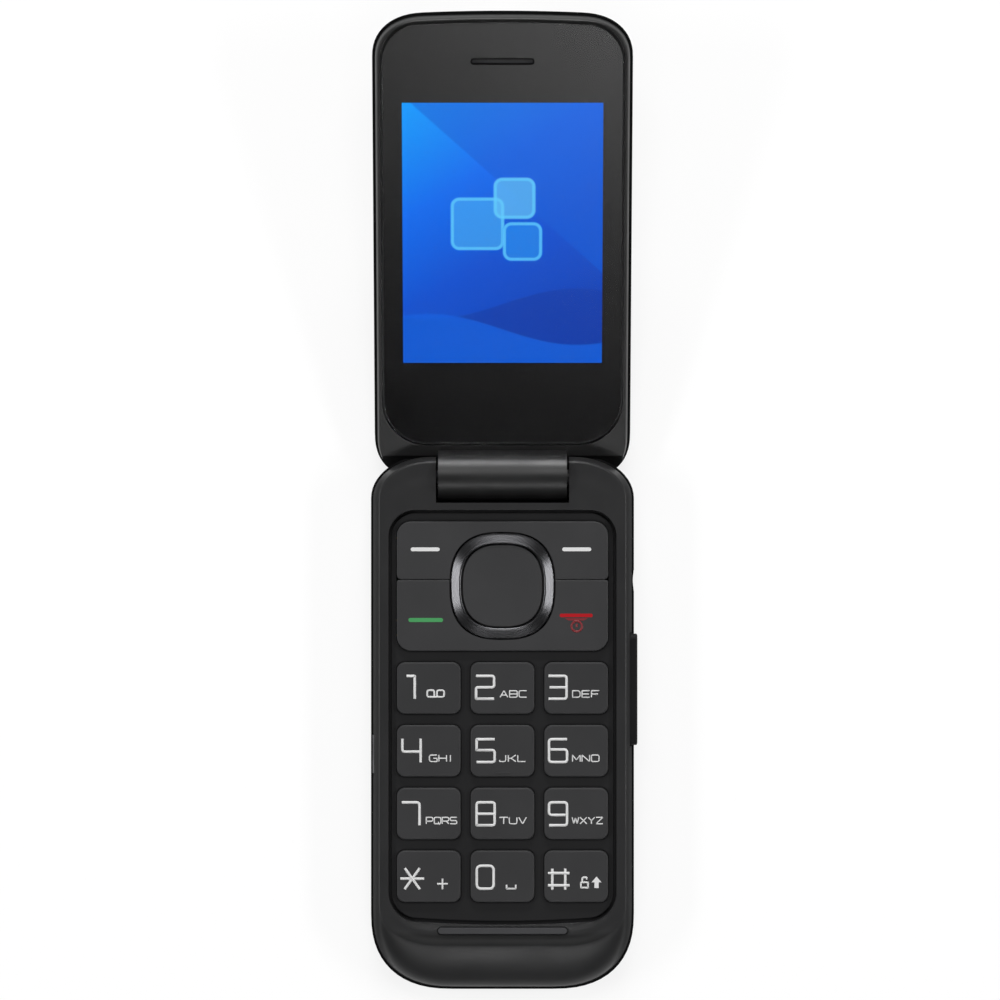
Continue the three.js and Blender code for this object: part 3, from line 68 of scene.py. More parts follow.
# Corner sizes across and along, from the foot of the sides to the crease
FAR_CORNER = (12.0, 8.6)
CHIN_CORNER = (16.0, 15.0)
CREASE_CORNER = (13.0, 9.0)
CAVITY_CORNERS = ((4.0, 4.0), (13.0, 9.0))
NEAR_POWER = 2.4
THICKNESS = HINGE_Z + 3.0
PARTING = 5.4
PARTING_GAP = 0.1
WALL = 1.3
SEAT_GAP = 0.15
BAND_STEP = 0.45
SIDE_CREASE = 1.7
END_CREASE = 1.5
CHIN_INSET = 8.75
CREASE_ROUND = 0.3
VALLEY_DEPTH = 0.35
SIDE_DISH = 0.06
DECK_BOTTOM = 9.85
REAR_EDGE_INSET = 3.0
REAR_EDGE_HEIGHT = 3.6
COVER_WALL = 1.2
COVER_TOP = 4.1
COVER_EDGE_Y = HINGE_Y - 23.5
TRAY_FLOOR = 1.95
TRAY_TOP = 6.3
BAY_CEILING = 5.7
BAY_HALF = 17.3
BAY_FOOT = HINGE_Y - 89.9 + 0.7
BAY_TOP = BAY_FOOT + 46.3
SIM_BOTTOM = BAY_TOP + 2.9
SIM_TOP = SIM_BOTTOM + 14.9
SIM_HALF = 13.15
TRAY_WALL = 1.0
POCKET_STEP = 0.6
SPEAKER_SLOT = (3.5, 0.4)
SPEAKER_X = -6.0
SPEAKER_PITCH = 2.2
CONTACT_SPAN = (-12.15, -3.85)
CONTACT_DEPTH = 1.9
BARREL_RADIUS = 4.6
BARREL_HALF = 12.65
BARREL_GAP = 0.45
SHOULDER_DEPTH = 0.9
NOTCH_HALF = BARREL_HALF + BARREL_GAP
NOTCH_Y = HINGE_Y - BARREL_RADIUS - BARREL_GAP
CAVITY_TOP_Y = NOTCH_Y - 0.8
LID_EAR_GAP = 0.4
STOP_GAP = 0.3
STOP_BEVEL = 0.6
PIN_BORE = 1.8
PIN_REACH = 5.25
MODULE_BORE = 3.05
SLEEVE_BORE_START = 3.05
OVERRUN = 1.0
# A length past the phone's sides all round
BEYOND = 60

# Screws
SCREW_HEAD = 1.4
SCREW_HEAD_HEIGHT = 0.9
SCREW_SHANK = 0.7
SCREW_PITCH = 0.4
SCREW_THREAD = 0.12
RECESS_HALVES = (0.85, 0.16)
RECESS_DEPTH = 0.5
LID_SCREW_SUNK = 0.1
SCREW_TIP = THICKNESS - 1.5
TOP_SCREW = (19.3, NOTCH_Y + 1.5, 0.5)
FOOT_SCREW = (17.0, 8.4 - HALF_LENGTH, TRAY_FLOOR)
LID_SCREW = (18.8, 13.0)

# Keypad
WINDOW_HALF = 22.4
WINDOW_TOP = NOTCH_Y - 1.45
WINDOW_BOTTOM = HINGE_Y - 88.0
WINDOW_CORNER = 5.2
WINDOW_BOW = 1.0
WINDOW_RIM = 0.2
PANEL_BOTTOM = 8.95
PANEL_TOP = 9.75
PANEL_LIP = 0.5
GROOVE_WIDTH = 0.6
GROOVE_DEPTH = 0.7
KEY_WIDTH = 12.6
KEY_HEIGHT = 10.2
KEY_CORNER = 1.6
KEY_ROUND = 0.42
# The bar on the middle key
BAR_RISE = 0.8
BAR_HALF_WIDTH = 1.5
BAR_HALF_HEIGHT = 0.16
BAR_CORNER = 0.15
BAR_PROUD = 0.1
KEY_PITCH_X = 14.5
KEY_PITCH_Y = 12.35
KEY_FIRST_Y = HINGE_Y - 41.5
KEY_TOP = 10.55
KEY_FLANGE_BOTTOM = 8.55
KEY_FLANGE_TOP = 8.85
KEY_FLANGE = 0.4
KEY_GAP = 0.08
CLUSTER_HALF = 20.8
CLUSTER_TOP = WINDOW_TOP - 2.2
CLUSTER_BOTTOM = CLUSTER_TOP - 25.5
CLUSTER_CORNER = 2.8
SEAM = 0.1
PLATE_THICKNESS = 1.35
PLATE_ROUND = 0.3
# Share of its rounding by which a cap's edge falls
CAP_FALL = 0.6
SOFT_KEY_CORNER = 0.9
CALL_KEY_CORNER = 0.4
RING_HALF_WIDTH = 10.2
RING_HALF_HEIGHT = 10.4
RING_Y = CLUSTER_TOP - 2.3 - RING_HALF_HEIGHT
SEAM_Y = RING_Y + 1.2
RING_POWER = 2.6
RING_WIDTH = 2.1
RING_BOTTOM = 9.05
RING_TOP = 10.95
RING_SLOPE = 1.7
RING_SLOPE_DROP = 0.85
RING_INNER_BEVEL = 0.2
ROCK_GAP = 0.25

# Lid, in its own frame
LID_HALF = 25.3
LID_LENGTH = 91.6
LID_TAIL = 1.5
LID_FAR_CORNER = (10.0, 8.0)
LID_NEAR_CORNER = (8.5, 9.0)
LID_FAR_POWER = 2.3
HOLLOW_START = 8.0
HOLLOW_CORNERS = ((8.8, 6.8), (4.25, 4.5))
LID_FACE = -3.4
LID_BACK = -10.8
LID_PARTING = -6.15
LID_WALL = 1.2
LID_BAND_STEP = 0.55
LID_RIM = 1.2
LID_BACK_INSET = 4.2
LID_BOW = 0.9
LID_FLOOR_CLEARANCE = 0.22
LENS_HALF = 23.3
LENS_START = 6.0
LENS_END = 89.6
LENS_FAR_GAP = 0.35
# Its corners at the far end and at the hinge
LENS_CORNERS = (6.5, 8.5)
LENS_TOP = -3.5
LENS_BOTTOM = -4.3
LENS_GAP = 0.35
LENS_GROOVE = 0.1
LENS_EDGE_SHARE = 0.4
LENS_IOR = 1.38
PLATE_TOP = -4.4
PLATE_BOTTOM = -5.3
PRINT_THICKNESS = 0.05
PRINT_GAP = 0.01
PRINT_INSET = 0.05
DISPLAY_HALF = 19.55
DISPLAY_START = 22.2
DISPLAY_END = 74.0
LCD_HALF = 21.3
LCD_START = 19.2
LCD_END = 76.5
EAR_SLOT_Y = 82.15
EAR_SLOT_LENGTH = 12.4
EAR_SLOT_WIDTH = 1.3
EAR_SLOT_WALL = 0.25
# How far below the lens's top the ear slot's black lining stops; the lining is partly painted shade
EAR_SHADE_PRINT_DEPTH = 0.1
CAMERA_Y = 78.5
CAMERA_RADIUS = 4.6
CAMERA_GLASS = 0.6
CAMERA_HOLE = 3.45
CAMERA_SIGHT = 2.1
CAMERA_SUNK = 0.1
CAMERA_PRINT = (0.005, 0.035)
CAMERA_LENS_GAP = 0.09
EYE_RADIUS = 1.45
EYE_HEIGHT = 0.3
# Radius and height of each corner of the ring round the camera's eye
CAMERA_STEPS = (
    (3.0, 0.0), (3.0, 0.25), (2.7, 0.35), (2.3, 0.38), (2.0, 0.2), (1.7, 0.2), (1.5, 0.12), (1.3, 0.0),
)

# Side key, ports and bumper
VOLUME_Y = HINGE_Y - 41.85
VOLUME_Z = 7.7
VOLUME_LENGTH = 22.0
VOLUME_HEIGHT = 2.3
VOLUME_PROUD = 0.6
VOLUME_DEPTH = 1.7
VOLUME_FOOT = 0.35
VOLUME_ROUND = 0.45
VOLUME_GAP = 0.25
JACK_Y = HINGE_Y - 20.4
JACK_Z = 4.7
JACK_HOLE = 2.15
JACK_HOLE_DEPTH = 3.45
JACK_BORE = 1.8
JACK_NOSE = 2.3
JACK_END = 0.7
CONTACT_OUTER = 1.78
CONTACT_INNER = 1.55
CONTACT_PLACES = (2.5, 5.5)
CONTACT_WIDTH = 0.9
USB_Y = HINGE_Y - 54.6
USB_HALF = 3.9
USB_TOP = 8.3
USB_INNER_X = 21.65
BUMPER_Y = WINDOW_BOTTOM - 1.22
BUMPER_HALF = 12.7
BUMPER_WIDTH = 1.3
BUMPER_BOTTOM = 10.4
BUMPER_TOP = 11.25
BUMPER_GAP = 0.2
BUMPER_SLOT_DEPTH = 0.7

# Where the deck starts to sink towards the chin, and over what length
DISH_START = WINDOW_BOTTOM + 6
DISH_LENGTH = 8
# How far inside the crease, and what share of the dish's depth
DISH = (
    (0.1, 0.03), (0.5, 0.2), (1.0, 0.5), (1.5, 0.8), (2.0, 0.96), (2.4, 1.0), (3.0, 0.8), (3.8, 0.3),
    (4.6, 0.0),
)
KEY_NAMES = [
    "key_1", "key_2", "key_3", "key_4", "key_5", "key_6",
    "key_7", "key_8", "key_9", "key_star", "key_0", "key_hash",
]
# Look of each piece whose CAD mesh is kept
CARRIED_LOOKS = {
    "steel": ["battery_connector", "sim_socket", "shield_can", "vibration_motor", "microphone", "usb_port"],
    "blackened": ["hinge_pin", "hinge_module"],
    "magnet": ["loudspeaker", "lid_magnet", "earpiece_speaker"],
    "camera": ["camera_module"],
    "mesh": ["earpiece_mesh"],
    "silicone": ["keypad_mat", "nav_collar"],
    "housing": ["hinge_sleeve"],
    "board": ["main_board", "side_key_board", "lid_circuit_board"],
    "battery": ["battery"],
    "aerial": ["antenna"],
    "flex": ["hinge_flex_cable"],
    "domes": ["dome_sheet"],
}


# Outlines
def outline(half_width, top, bottom, top_corner, bottom_corner, top_power=2.0, bottom_power=2.0,
            top_bow=0.0, bottom_bow=0.0, steps=14, edges=10):
    """A rounded oblong, anticlockwise from its right side."""
    points = []

    def end(y, corner, power, bow, sign):
        def place(x, rise):
            points.append((x, y - sign * (corner[1] - rise + bow * (x / half_width) ** 2)))

        def quarter(side, first, last):
            for step in range(steps + 1):
                angle = math.radians(first + (last - first) * step / steps)
                across = corner[0] * max(math.cos(angle), 0) ** (2 / power)
                rise = corner[1] * max(math.sin(angle), 0) ** (2 / power)
                place(side * (half_width - corner[0] + across), rise)

        quarter(sign, 0, 90)
        for step in range(1, edges):
            place(sign * (half_width - corner[0]) * (1 - 2 * step / edges), corner[1])
        quarter(-sign, 90, 0)

    end(top, top_corner, top_power, top_bow, 1)
    end(bottom, bottom_corner, bottom_power, bottom_bow, -1)
    return points


def oblong(half_width, bottom, top, corner, steps=8):
    pair = (corner, corner)
    return outline(half_width, top, bottom, pair, pair, steps=steps, edges=1)


def pill(half_width, half_height, grow=0.0):
    """A bar with round ends about the origin."""
    half = half_height + grow
    return oblong(half_width + grow, -half, half, half)


def squircle(inset, sides=96):
    points = []
    for side in range(sides):
        angle = 2 * math.pi * side / sides
        across, up = math.cos(angle), math.sin(angle)
        points.append((
            (RING_HALF_WIDTH - inset) * math.copysign(abs(across) ** (2 / RING_POWER), across),
            RING_Y + (RING_HALF_HEIGHT - inset) * math.copysign(abs(up) ** (2 / RING_POWER), up),
        ))
    return points


def circle(radius, x=0.0, y=0.0, sides=48):
    turn = 2 * math.pi / sides
    return [(x + radius * math.cos(i * turn), y + radius * math.sin(i * turn)) for i in range(sides)]


def camera_circle(radius, sides=48):
    return circle(radius, 0, CAMERA_Y, sides)


def moved(points, x, y):
    return [(across + x, up + y) for across, up in points]


def blend(first, last, share):
    return first + (last - first) * share


def quarter_turn(steps):
    """Cosine and sine of even steps through a quarter turn."""
    angles = [math.radians(90 * step / steps) for step in range(steps + 1)]
    return [(math.cos(angle), math.sin(angle)) for angle in angles]


def curve_between(start, middle, end, steps):
    """Points of a curve that leaves and arrives along its two legs."""
    points = []
    for step in range(steps + 1):
        t = step / steps
        points.append((1 - t) ** 2 * start + 2 * t * (1 - t) * middle + t * t * end)
    return points


def base_plan(side, hinge_end, chin, chin_share=0.0, more=0.0):
    draw = more if chin_share > 0 else side
    chin_corner = [blend(foot, crease, chin_share) - draw for foot, crease in zip(CHIN_CORNER, CREASE_CORNER)]
    return outline(
        HALF_WIDTH - side - more, HALF_LENGTH - hinge_end - more, chin + more - HALF_LENGTH,
        (FAR_CORNER[0] - side - more, FAR_CORNER[1] - hinge_end - more), chin_corner,
        bottom_power=NEAR_POWER,
    )


def cavity_plan(half_width, top, chin):
    return outline(half_width, top, chin - HALF_LENGTH, *CAVITY_CORNERS)


def window_plan(grow):
    corner = (WINDOW_CORNER + grow, WINDOW_CORNER + grow)
    return outline(WINDOW_HALF + grow, WINDOW_TOP + grow, WINDOW_BOTTOM - grow, corner, corner,
                   bottom_bow=WINDOW_BOW)


def cluster_plan(inset):
    return oblong(CLUSTER_HALF - inset, CLUSTER_BOTTOM + inset, CLUSTER_TOP - inset,
                  CLUSTER_CORNER - inset, 10)


def lid_plan(inset):
    far_corner = [size - inset for size in LID_FAR_CORNER]
    near_corner = [size - inset for size in LID_NEAR_CORNER]
    return outline(LID_HALF - inset, LID_LENGTH - inset, inset / 2 - LID_TAIL, far_corner, near_corner,
                   top_power=LID_FAR_POWER, bottom_power=NEAR_POWER, top_bow=LID_BOW)


def lens_plan(grow, far=0.0):
    far_corner, near_corner = ((size + grow, size + grow) for size in LENS_CORNERS)
    return outline(LENS_HALF + grow, LENS_END + grow + far, LENS_START - grow, far_corner, near_corner,
                   top_bow=LID_BOW)


# Meshes
def clean(mesh):
    """Merges the points that meet and turns the faces outwards."""
    edited = bmesh.new()
    edited.from_mesh(mesh)
    bmesh.ops.remove_doubles(edited, verts=edited.verts, dist=MERGE)
    bmesh.ops.recalc_face_normals(edited, faces=edited.faces)
    edited.to_mesh(mesh)
    edited.free()


def new_piece(name, vertices, faces, place=None):
    mesh = bpy.data.meshes.new(name)
    mesh.from_pydata([tuple(value * MM for value in vertex) for vertex in vertices], [], faces)
    if place is not None:
        mesh.transform(place)
    clean(mesh)
    piece = bpy.data.objects.new(name, mesh)
    bpy.context.scene.collection.objects.link(piece)
    return piece


def faces_between(count, level, onward):
    """The faces between two loops of as many points."""
    return [(level * count + i, level * count + (i + 1) % count,
             onward * count + (i + 1) % count, onward * count + i) for i in range(count)]


def loft(name, rings, place=None):
    """A closed skin over rings of equal point counts, each a height and its points."""
    count = len(rings[0][1])
    vertices, faces = [], []
    for height, points in rings:
        vertices += [(x, y, height(x, y) if callable(height) else height) for x, y in points]
    for level in range(len(rings) - 1):
        faces += faces_between(count, level, level + 1)
    last = (len(rings) - 1) * count
    faces += [tuple(reversed(range(count))), tuple(range(last, last + count))]
    return new_piece(name, vertices, faces, place)


def prism(name, points, low, high, place=None):
    return loft(name, [(low, points), (high, points)], place)


def block(name, x, y, z, place=None):
    corners = [(x[0], y[0]), (x[1], y[0]), (x[1], y[1]), (x[0], y[1])]
    return prism(name, corners, z[0], z[1], place)


def side_prism(name, points, x0, x1, place=None):
    """A profile drawn in Y and Z, swept across the width."""
    turned = Matrix(((0, 0, 1, 0), (1, 0, 0, 0), (0, 1, 0, 0), (0, 0, 0, 1)))
    whole = turned if place is None else place @ turned
    return prism(name, points, x0, x1, whole)


def swept_ring(name, profile, plan_at, place=None):
    """A closed ring whose section is a closed profile of inset and height."""
    loops = [[(x, y, z) for x, y in plan_at(inset)] for inset, z in profile]
    faces = []
    for level in range(len(loops)):
        faces += faces_between(len(loops[0]), level, (level + 1) % len(loops))
    return new_piece(name, [vertex for loop in loops for vertex in loop], faces, place)


def settle(piece):
    """Turns a piece's live modifiers into its plain mesh."""
    graph = bpy.context.evaluated_depsgraph_get()
    mesh = bpy.data.meshes.new_from_object(piece.evaluated_get(graph), depsgraph=graph)
    old = piece.data
    piece.modifiers.clear()
    piece.data = mesh
    bpy.data.meshes.remove(old)
    mesh.name = piece.name
    return piece


def combine(piece, operation, *tools):
    for tool in tools:
        modifier = piece.modifiers.new(operation.lower(), "BOOLEAN")
        modifier.operation = operation
        modifier.solver = "EXACT"
        modifier.object = tool
    settle(piece)
    for tool in tools:
        mesh = tool.data
        bpy.data.objects.remove(tool)
        bpy.data.meshes.remove(mesh)
    return piece


def cut(piece, *tools):
    return combine(piece, "DIFFERENCE", *tools)


def join(piece, *tools):
    return combine(piece, "UNION", *tools)


def keep_inside(piece, *tools):
    return combine(piece, "INTERSECT", *tools)


def soften(piece, width=0.0, segments=2, limit=38.0):
    """Rounds the sharp edges, then shades the surface smoothly between them."""
    edited = bmesh.new()
    edited.from_mesh(piece.data)
    bmesh.ops.remove_doubles(edited, verts=edited.verts, dist=2 * MERGE)
    bmesh.ops.dissolve_degenerate(edited, edges=edited.edges, dist=MERGE)
    edited.to_mesh(piece.data)
    edited.free()
    if width:
        bevel = piece.modifiers.new("bevel", "BEVEL")
        bevel.width = width * MM
        bevel.segments = segments
        bevel.limit_method = "ANGLE"
        bevel.angle_limit = math.radians(limit)
        bevel.use_clamp_overlap = True
        settle(piece)
    piece.data.shade_smooth()
    piece.data.set_sharp_from_angle(angle=math.radians(limit))
    weighted = piece.modifiers.new("normals", "WEIGHTED_NORMAL")
    weighted.keep_sharp = True
    weighted.weight = 60
    return settle(piece)


def coat(piece, material):
    piece.data.materials.clear()
    piece.data.materials.append(material)


def finish_piece(piece, look, body, slot, *replaced):
    coat(piece, finish(look))
    for polygon in piece.data.polygons:
        polygon.material_index = 0
    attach(piece, body)
    if replaced:
        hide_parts(*replaced)
    return piece


# Node trees

# Where most of a noise lies
MIDDLE = (0.3, 0.7)
# Middle, half size and colour of each tile of the picture, in half widths of the display
TILES = (
    (-0.25, 0.1, 0.27, (70, 178, 250)), (0.12, 0.36, 0.21, (104, 204, 254)), (0.2, -0.08, 0.2, (36, 150, 246)),
)
TILE_CORNER = 0.09


def put(tree, socket, value):
    """Links a value of the tree to an input, or sets a plain one."""
    value = value.socket if isinstance(value, Field) else value
    if isinstance(value, bpy.types.NodeSocket):
        tree.links.new(value, socket)
    else:
        socket.default_value = value


def add_node(tree, kind, inputs=None, **settings):
    node = tree.nodes.new(kind)
    for key, value in settings.items():
        setattr(node, key, value)
    for key, value in (inputs or {}).items():
        put(tree, node.inputs[key], value)
    return node


class Field:
    """A number in a node tree, written with plain arithmetic."""

    def __init__(self, tree, socket):
        self.tree, self.socket = tree, socket

    def run(self, operation, *others):
        inputs = dict(enumerate((self, *others)))
        return Field(self.tree, add_node(self.tree, "ShaderNodeMath", inputs, operation=operation).outputs[0])

    def ramp(self, low, high, new_low=0.0, new_high=1.0):
        """Carries the range from low to high over to a new one, and stops at its ends."""
        node = add_node(self.tree, "ShaderNodeMapRange", {
            "Value": self, "From Min": low, "From Max": high, "To Min": new_low, "To Max": new_high,
        })
        return Field(self.tree, node.outputs["Result"])

    def __add__(self, other):
        return self.run("ADD", other)

    def __sub__(self, other):
        return self.run("SUBTRACT", other)

    def __mul__(self, other):
        return self.run("MULTIPLY", other)

    def __truediv__(self, other):
        return self.run("DIVIDE", other)

    def __abs__(self):
        return self.run("ABSOLUTE")


def mapped(tree, vector, **changes):
    """A vector that is moved, turned or scaled."""
    return add_node(tree, "ShaderNodeMapping", {"Vector": vector, **changes}).outputs["Vector"]


def split(tree, vector):
    parts = add_node(tree, "ShaderNodeSeparateXYZ", {"Vector": vector}).outputs
    return [Field(tree, parts[axis]) for axis in "XYZ"]


def noise(tree, coordinates, size, detail=2.0, stretch=None):
    if stretch:
        coordinates = mapped(tree, coordinates, Scale=stretch)
    node = add_node(tree, "ShaderNodeTexNoise", {
        "Vector": coordinates, "Scale": 1 / (size * MM), "Detail": detail,
    })
    return Field(tree, node.outputs["Fac"])


def cells(tree, coordinates, size, **settings):
    inputs = {"Vector": coordinates, "Scale": 1 / (size * MM)}
    return Field(tree, add_node(tree, "ShaderNodeTexVoronoi", inputs, **settings).outputs["Distance"])


def stripes(value, pitch):
    """A wave from 0 to 1 that repeats along a value."""
    return (value * (2 * math.pi / pitch)).run("SINE") * 0.5 + 0.5


def colour(value):
    """Linear colour from red, green and blue of 0 to 255."""
    parts = []
    for part in value:
        share = part / 255
        parts.append(share / 12.92 if share <= 0.04045 else ((share + 0.055) / 1.055) ** 2.4)
    return (*parts, 1.0)


def shade(tone, share):
    return (*(part * share for part in tone[:3]), 1.0)


def blend_colours(tree, factor, first, second):
    return add_node(tree, "ShaderNodeMix", {0: factor, 6: first, 7: second}, data_type="RGBA").outputs[2]


def colour_ramp(tree, place, stops):
    node = add_node(tree, "ShaderNodeValToRGB", {"Fac": place})
    elements = node.color_ramp.elements
    while len(elements) < len(stops):
        elements.new(0.5)
    for element, (position, tone) in zip(elements, stops):
        element.position = position
        element.color = tone
    return node.outputs["Color"]


def new_material(name):
    material = bpy.data.materials.new(name)
    material.use_nodes = True
    tree = material.node_tree
    return material, tree, add_node(tree, "ShaderNodeTexCoord").outputs["Object"]


def dress(material, values, height=None, strength=0.0, depth=0.0):
    """Gives the material's shader its inputs, and a relief whose depth is in millimetres."""
    tree = material.node_tree
    if height is not None:
        bump = add_node(tree, "ShaderNodeBump", {
            "Height": height, "Strength": strength, "Distance": depth * MM,
        })
        values = {**values, "Normal": bump.outputs["Normal"]}
    for name, value in values.items():
        put(tree, tree.nodes["Principled BSDF"].inputs[name], value)
    return material


def moulded(name, tone, roughness, specular=0.5, grain=0.16, depth=0.012, variation=0.08, smudge=0.06,
            dull_sides_and_painted_foot_shade=False):
    """Moulded plastic or rubber: a fine grain, faint flow shades and handled patches; with dull sides, also a
    painted shade on the deck before the foot.
    """
    material, tree, coordinates = new_material(name)
    base = colour(tone)
    surface = blend_colours(tree, noise(tree, coordinates, 14.0, 3.0).ramp(*MIDDLE),
                            shade(base, 1 - variation), shade(base, 1 + variation))
    patches = noise(tree, coordinates, 5.0, 4.0, (1.0, 0.6, 1.0))
    polish = patches.ramp(0.3, 0.75, roughness - smudge / 2, roughness + smudge)
    if dull_sides_and_painted_foot_shade:
        leaning = split(tree, add_node(tree, "ShaderNodeTexCoord").outputs["Normal"])
        polish = polish + abs(leaning[0]).ramp(0.6, 0.85, 0.0, 1.0 - roughness)
        # Painted shade: below the bumper strip, faces that lean towards the hinge take 0.4 of the base colour,
        # for the shade above the chin's crease
        foot = split(tree, coordinates)[1].ramp(BUMPER_Y * MM, (BUMPER_Y - 1.0) * MM)
        surface = blend_colours(tree, foot * leaning[1].ramp(0.02, 0.12), surface, shade(base, 0.4))
    return dress(material, {"Base Color": surface, "Roughness": polish, "Specular IOR Level": specular},
                 noise(tree, coordinates, grain, 3.0), 0.35, depth)


def metal(name, tone, roughness, streak=(1.0, 1.0, 1.0)):
    """Metal with drawn streaks."""
    material, tree, coordinates = new_material(name)
    streaks = noise(tree, coordinates, 0.25, 3.0, streak)
    base = colour(tone)
    return dress(material, {
        "Base Color": blend_colours(tree, streaks, shade(base, 0.82), base), "Metallic": 1.0,
        "Roughness": streaks.ramp(*MIDDLE, roughness * 0.8, roughness * 1.25),
    }, streaks, 0.3, 0.004)


def turned_metal(name, tone, roughness):
    """Bright plating brushed round the ring's centre."""
    material, tree, coordinates = new_material(name)
    centred = mapped(tree, coordinates, Location=(0, -RING_Y * MM, 0))
    x, y, z = split(tree, centred)
    outwards = add_node(tree, "ShaderNodeCombineXYZ", {"X": x, "Y": y}).outputs[0]
    tangent = add_node(tree, "ShaderNodeVectorMath", {0: outwards}, operation="NORMALIZE").outputs[0]
    reach = add_node(tree, "ShaderNodeVectorMath", {0: centred}, operation="LENGTH").outputs["Value"]
    lines = noise(tree, add_node(tree, "ShaderNodeCombineXYZ", {"X": reach}).outputs[0], 0.08)
    base = colour(tone)
    return dress(material, {
        "Base Color": blend_colours(tree, lines, shade(base, 0.8), base), "Metallic": 1.0,
        "Roughness": lines.ramp(*MIDDLE, roughness * 0.9, roughness * 1.15),
        "Tangent": tangent, "Anisotropic": 0.3,
    }, lines, 0.25, 0.004)


def clear_lens(name):
    """Clear acrylic with a little dust."""
    material, tree, coordinates = new_material(name)
    dust = noise(tree, coordinates, 3.0, 5.0, (1.0, 0.5, 1.0))
    return dress(material, {
        "Base Color": (1, 1, 1, 1), "Roughness": dust.ramp(0.45, 0.85, 0.03, 0.05),
        "Transmission Weight": 1.0, "IOR": LENS_IOR,
    })


def lid_coordinates(tree, coordinates):
    """Object coordinates turned and moved into the lid's own frame, in millimetres."""
    centred = mapped(tree, coordinates, Location=(0, -HINGE_Y * MM, -HINGE_Z * MM))
    return split(tree, mapped(tree, centred, Rotation=(-REST_TILT, 0, 0), Scale=(1 / MM, 1 / MM, 1 / MM)))


def woven(name, tone, pitch=0.32):
    """Fine acoustic cloth of crossing threads."""
    material, tree, coordinates = new_material(name)
    x, y, z = lid_coordinates(tree, coordinates)
    threads = stripes(x + y, pitch).run("MAXIMUM", stripes(x - y, pitch))
    base = colour(tone)
    surface = blend_colours(tree, threads.ramp(0.5, 0.8), shade(base, 0.25), base)
    return dress(material, {"Base Color": surface, "Roughness": 0.85}, threads, 0.6, 0.04)


def circuit_board(name):
    """Solder mask over copper traces, with plated holes."""
    material, tree, coordinates = new_material(name)
    traces = cells(tree, coordinates, 2.6, feature="DISTANCE_TO_EDGE").ramp(0.05, 0.08, 1.0, 0.0)
    plated = cells(tree, coordinates, 1.7, feature="F1", distance="CHEBYCHEV").ramp(0.13, 0.15, 1.0, 0.0)
    mask = blend_colours(tree, traces, colour((12, 66, 40)), colour((28, 98, 58)))
    return dress(material, {
        "Base Color": blend_colours(tree, plated, mask, colour((196, 158, 82))), "Metallic": plated,
        "Roughness": plated.ramp(0.0, 1.0, 0.38, 0.3),
    }, traces, 0.4, 0.02)


def battery_wrap(name):
    """Satin wrap with a paler band by the contacts and faint creases."""
    material, tree, coordinates = new_material(name)
    band = split(tree, coordinates)[1].ramp((BAY_TOP - 5.2) * MM, (BAY_TOP - 5.0) * MM)
    creases = noise(tree, coordinates, 6.0, 5.0, (1.0, 0.3, 1.0))
    return dress(material, {
        "Base Color": blend_colours(tree, band, colour((54, 56, 62)), colour((104, 106, 110))),
        "Roughness": creases.ramp(*MIDDLE, 0.32, 0.48),
    }, creases, 0.3, 0.05)


def flex_film(name):
    """Amber film with copper tracks along it."""
    material, tree, coordinates = new_material(name)
    tracks = stripes(split(tree, coordinates)[0], 0.36 * MM).ramp(0.45, 0.6)
    return dress(material, {
        "Base Color": blend_colours(tree, tracks, colour((150, 84, 22)), colour((196, 120, 52))),
        "Roughness": tracks.ramp(0.0, 1.0, 0.42, 0.3),
    }, tracks, 0.4, 0.015)


def dome_film(name):
    """Frosted film over steel domes, told apart by their height."""
    material, tree, coordinates = new_material(name)
    low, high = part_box("dome_sheet")
    raised = split(tree, coordinates)[2].ramp(low.z + 0.11 * MM, low.z + 0.13 * MM)
    return dress(material, {
        "Base Color": blend_colours(tree, raised, colour((120, 122, 126)), colour((186, 187, 190))),
        "Metallic": raised, "Roughness": noise(tree, coordinates, 0.3).ramp(*MIDDLE, 0.3, 0.45),
    })


def aerial(name):
    """Black carrier with a gilt folded track."""
    material, tree, coordinates = new_material(name)
    low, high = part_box("antenna")
    x, y, z = split(tree, coordinates)
    middle = (low.y + high.y) / 2
    swing = stripes(x, 3.2 * MM).ramp(*MIDDLE, middle - 1.3 * MM, middle + 1.3 * MM)
    gilt = abs(y - swing).ramp(0.32 * MM, 0.38 * MM, 1.0, 0.0)
    return dress(material, {
        "Base Color": blend_colours(tree, gilt, colour((26, 26, 28)), colour((206, 168, 84))),
        "Metallic": gilt, "Roughness": noise(tree, coordinates, 0.2).ramp(*MIDDLE, 0.35, 0.5),
    })


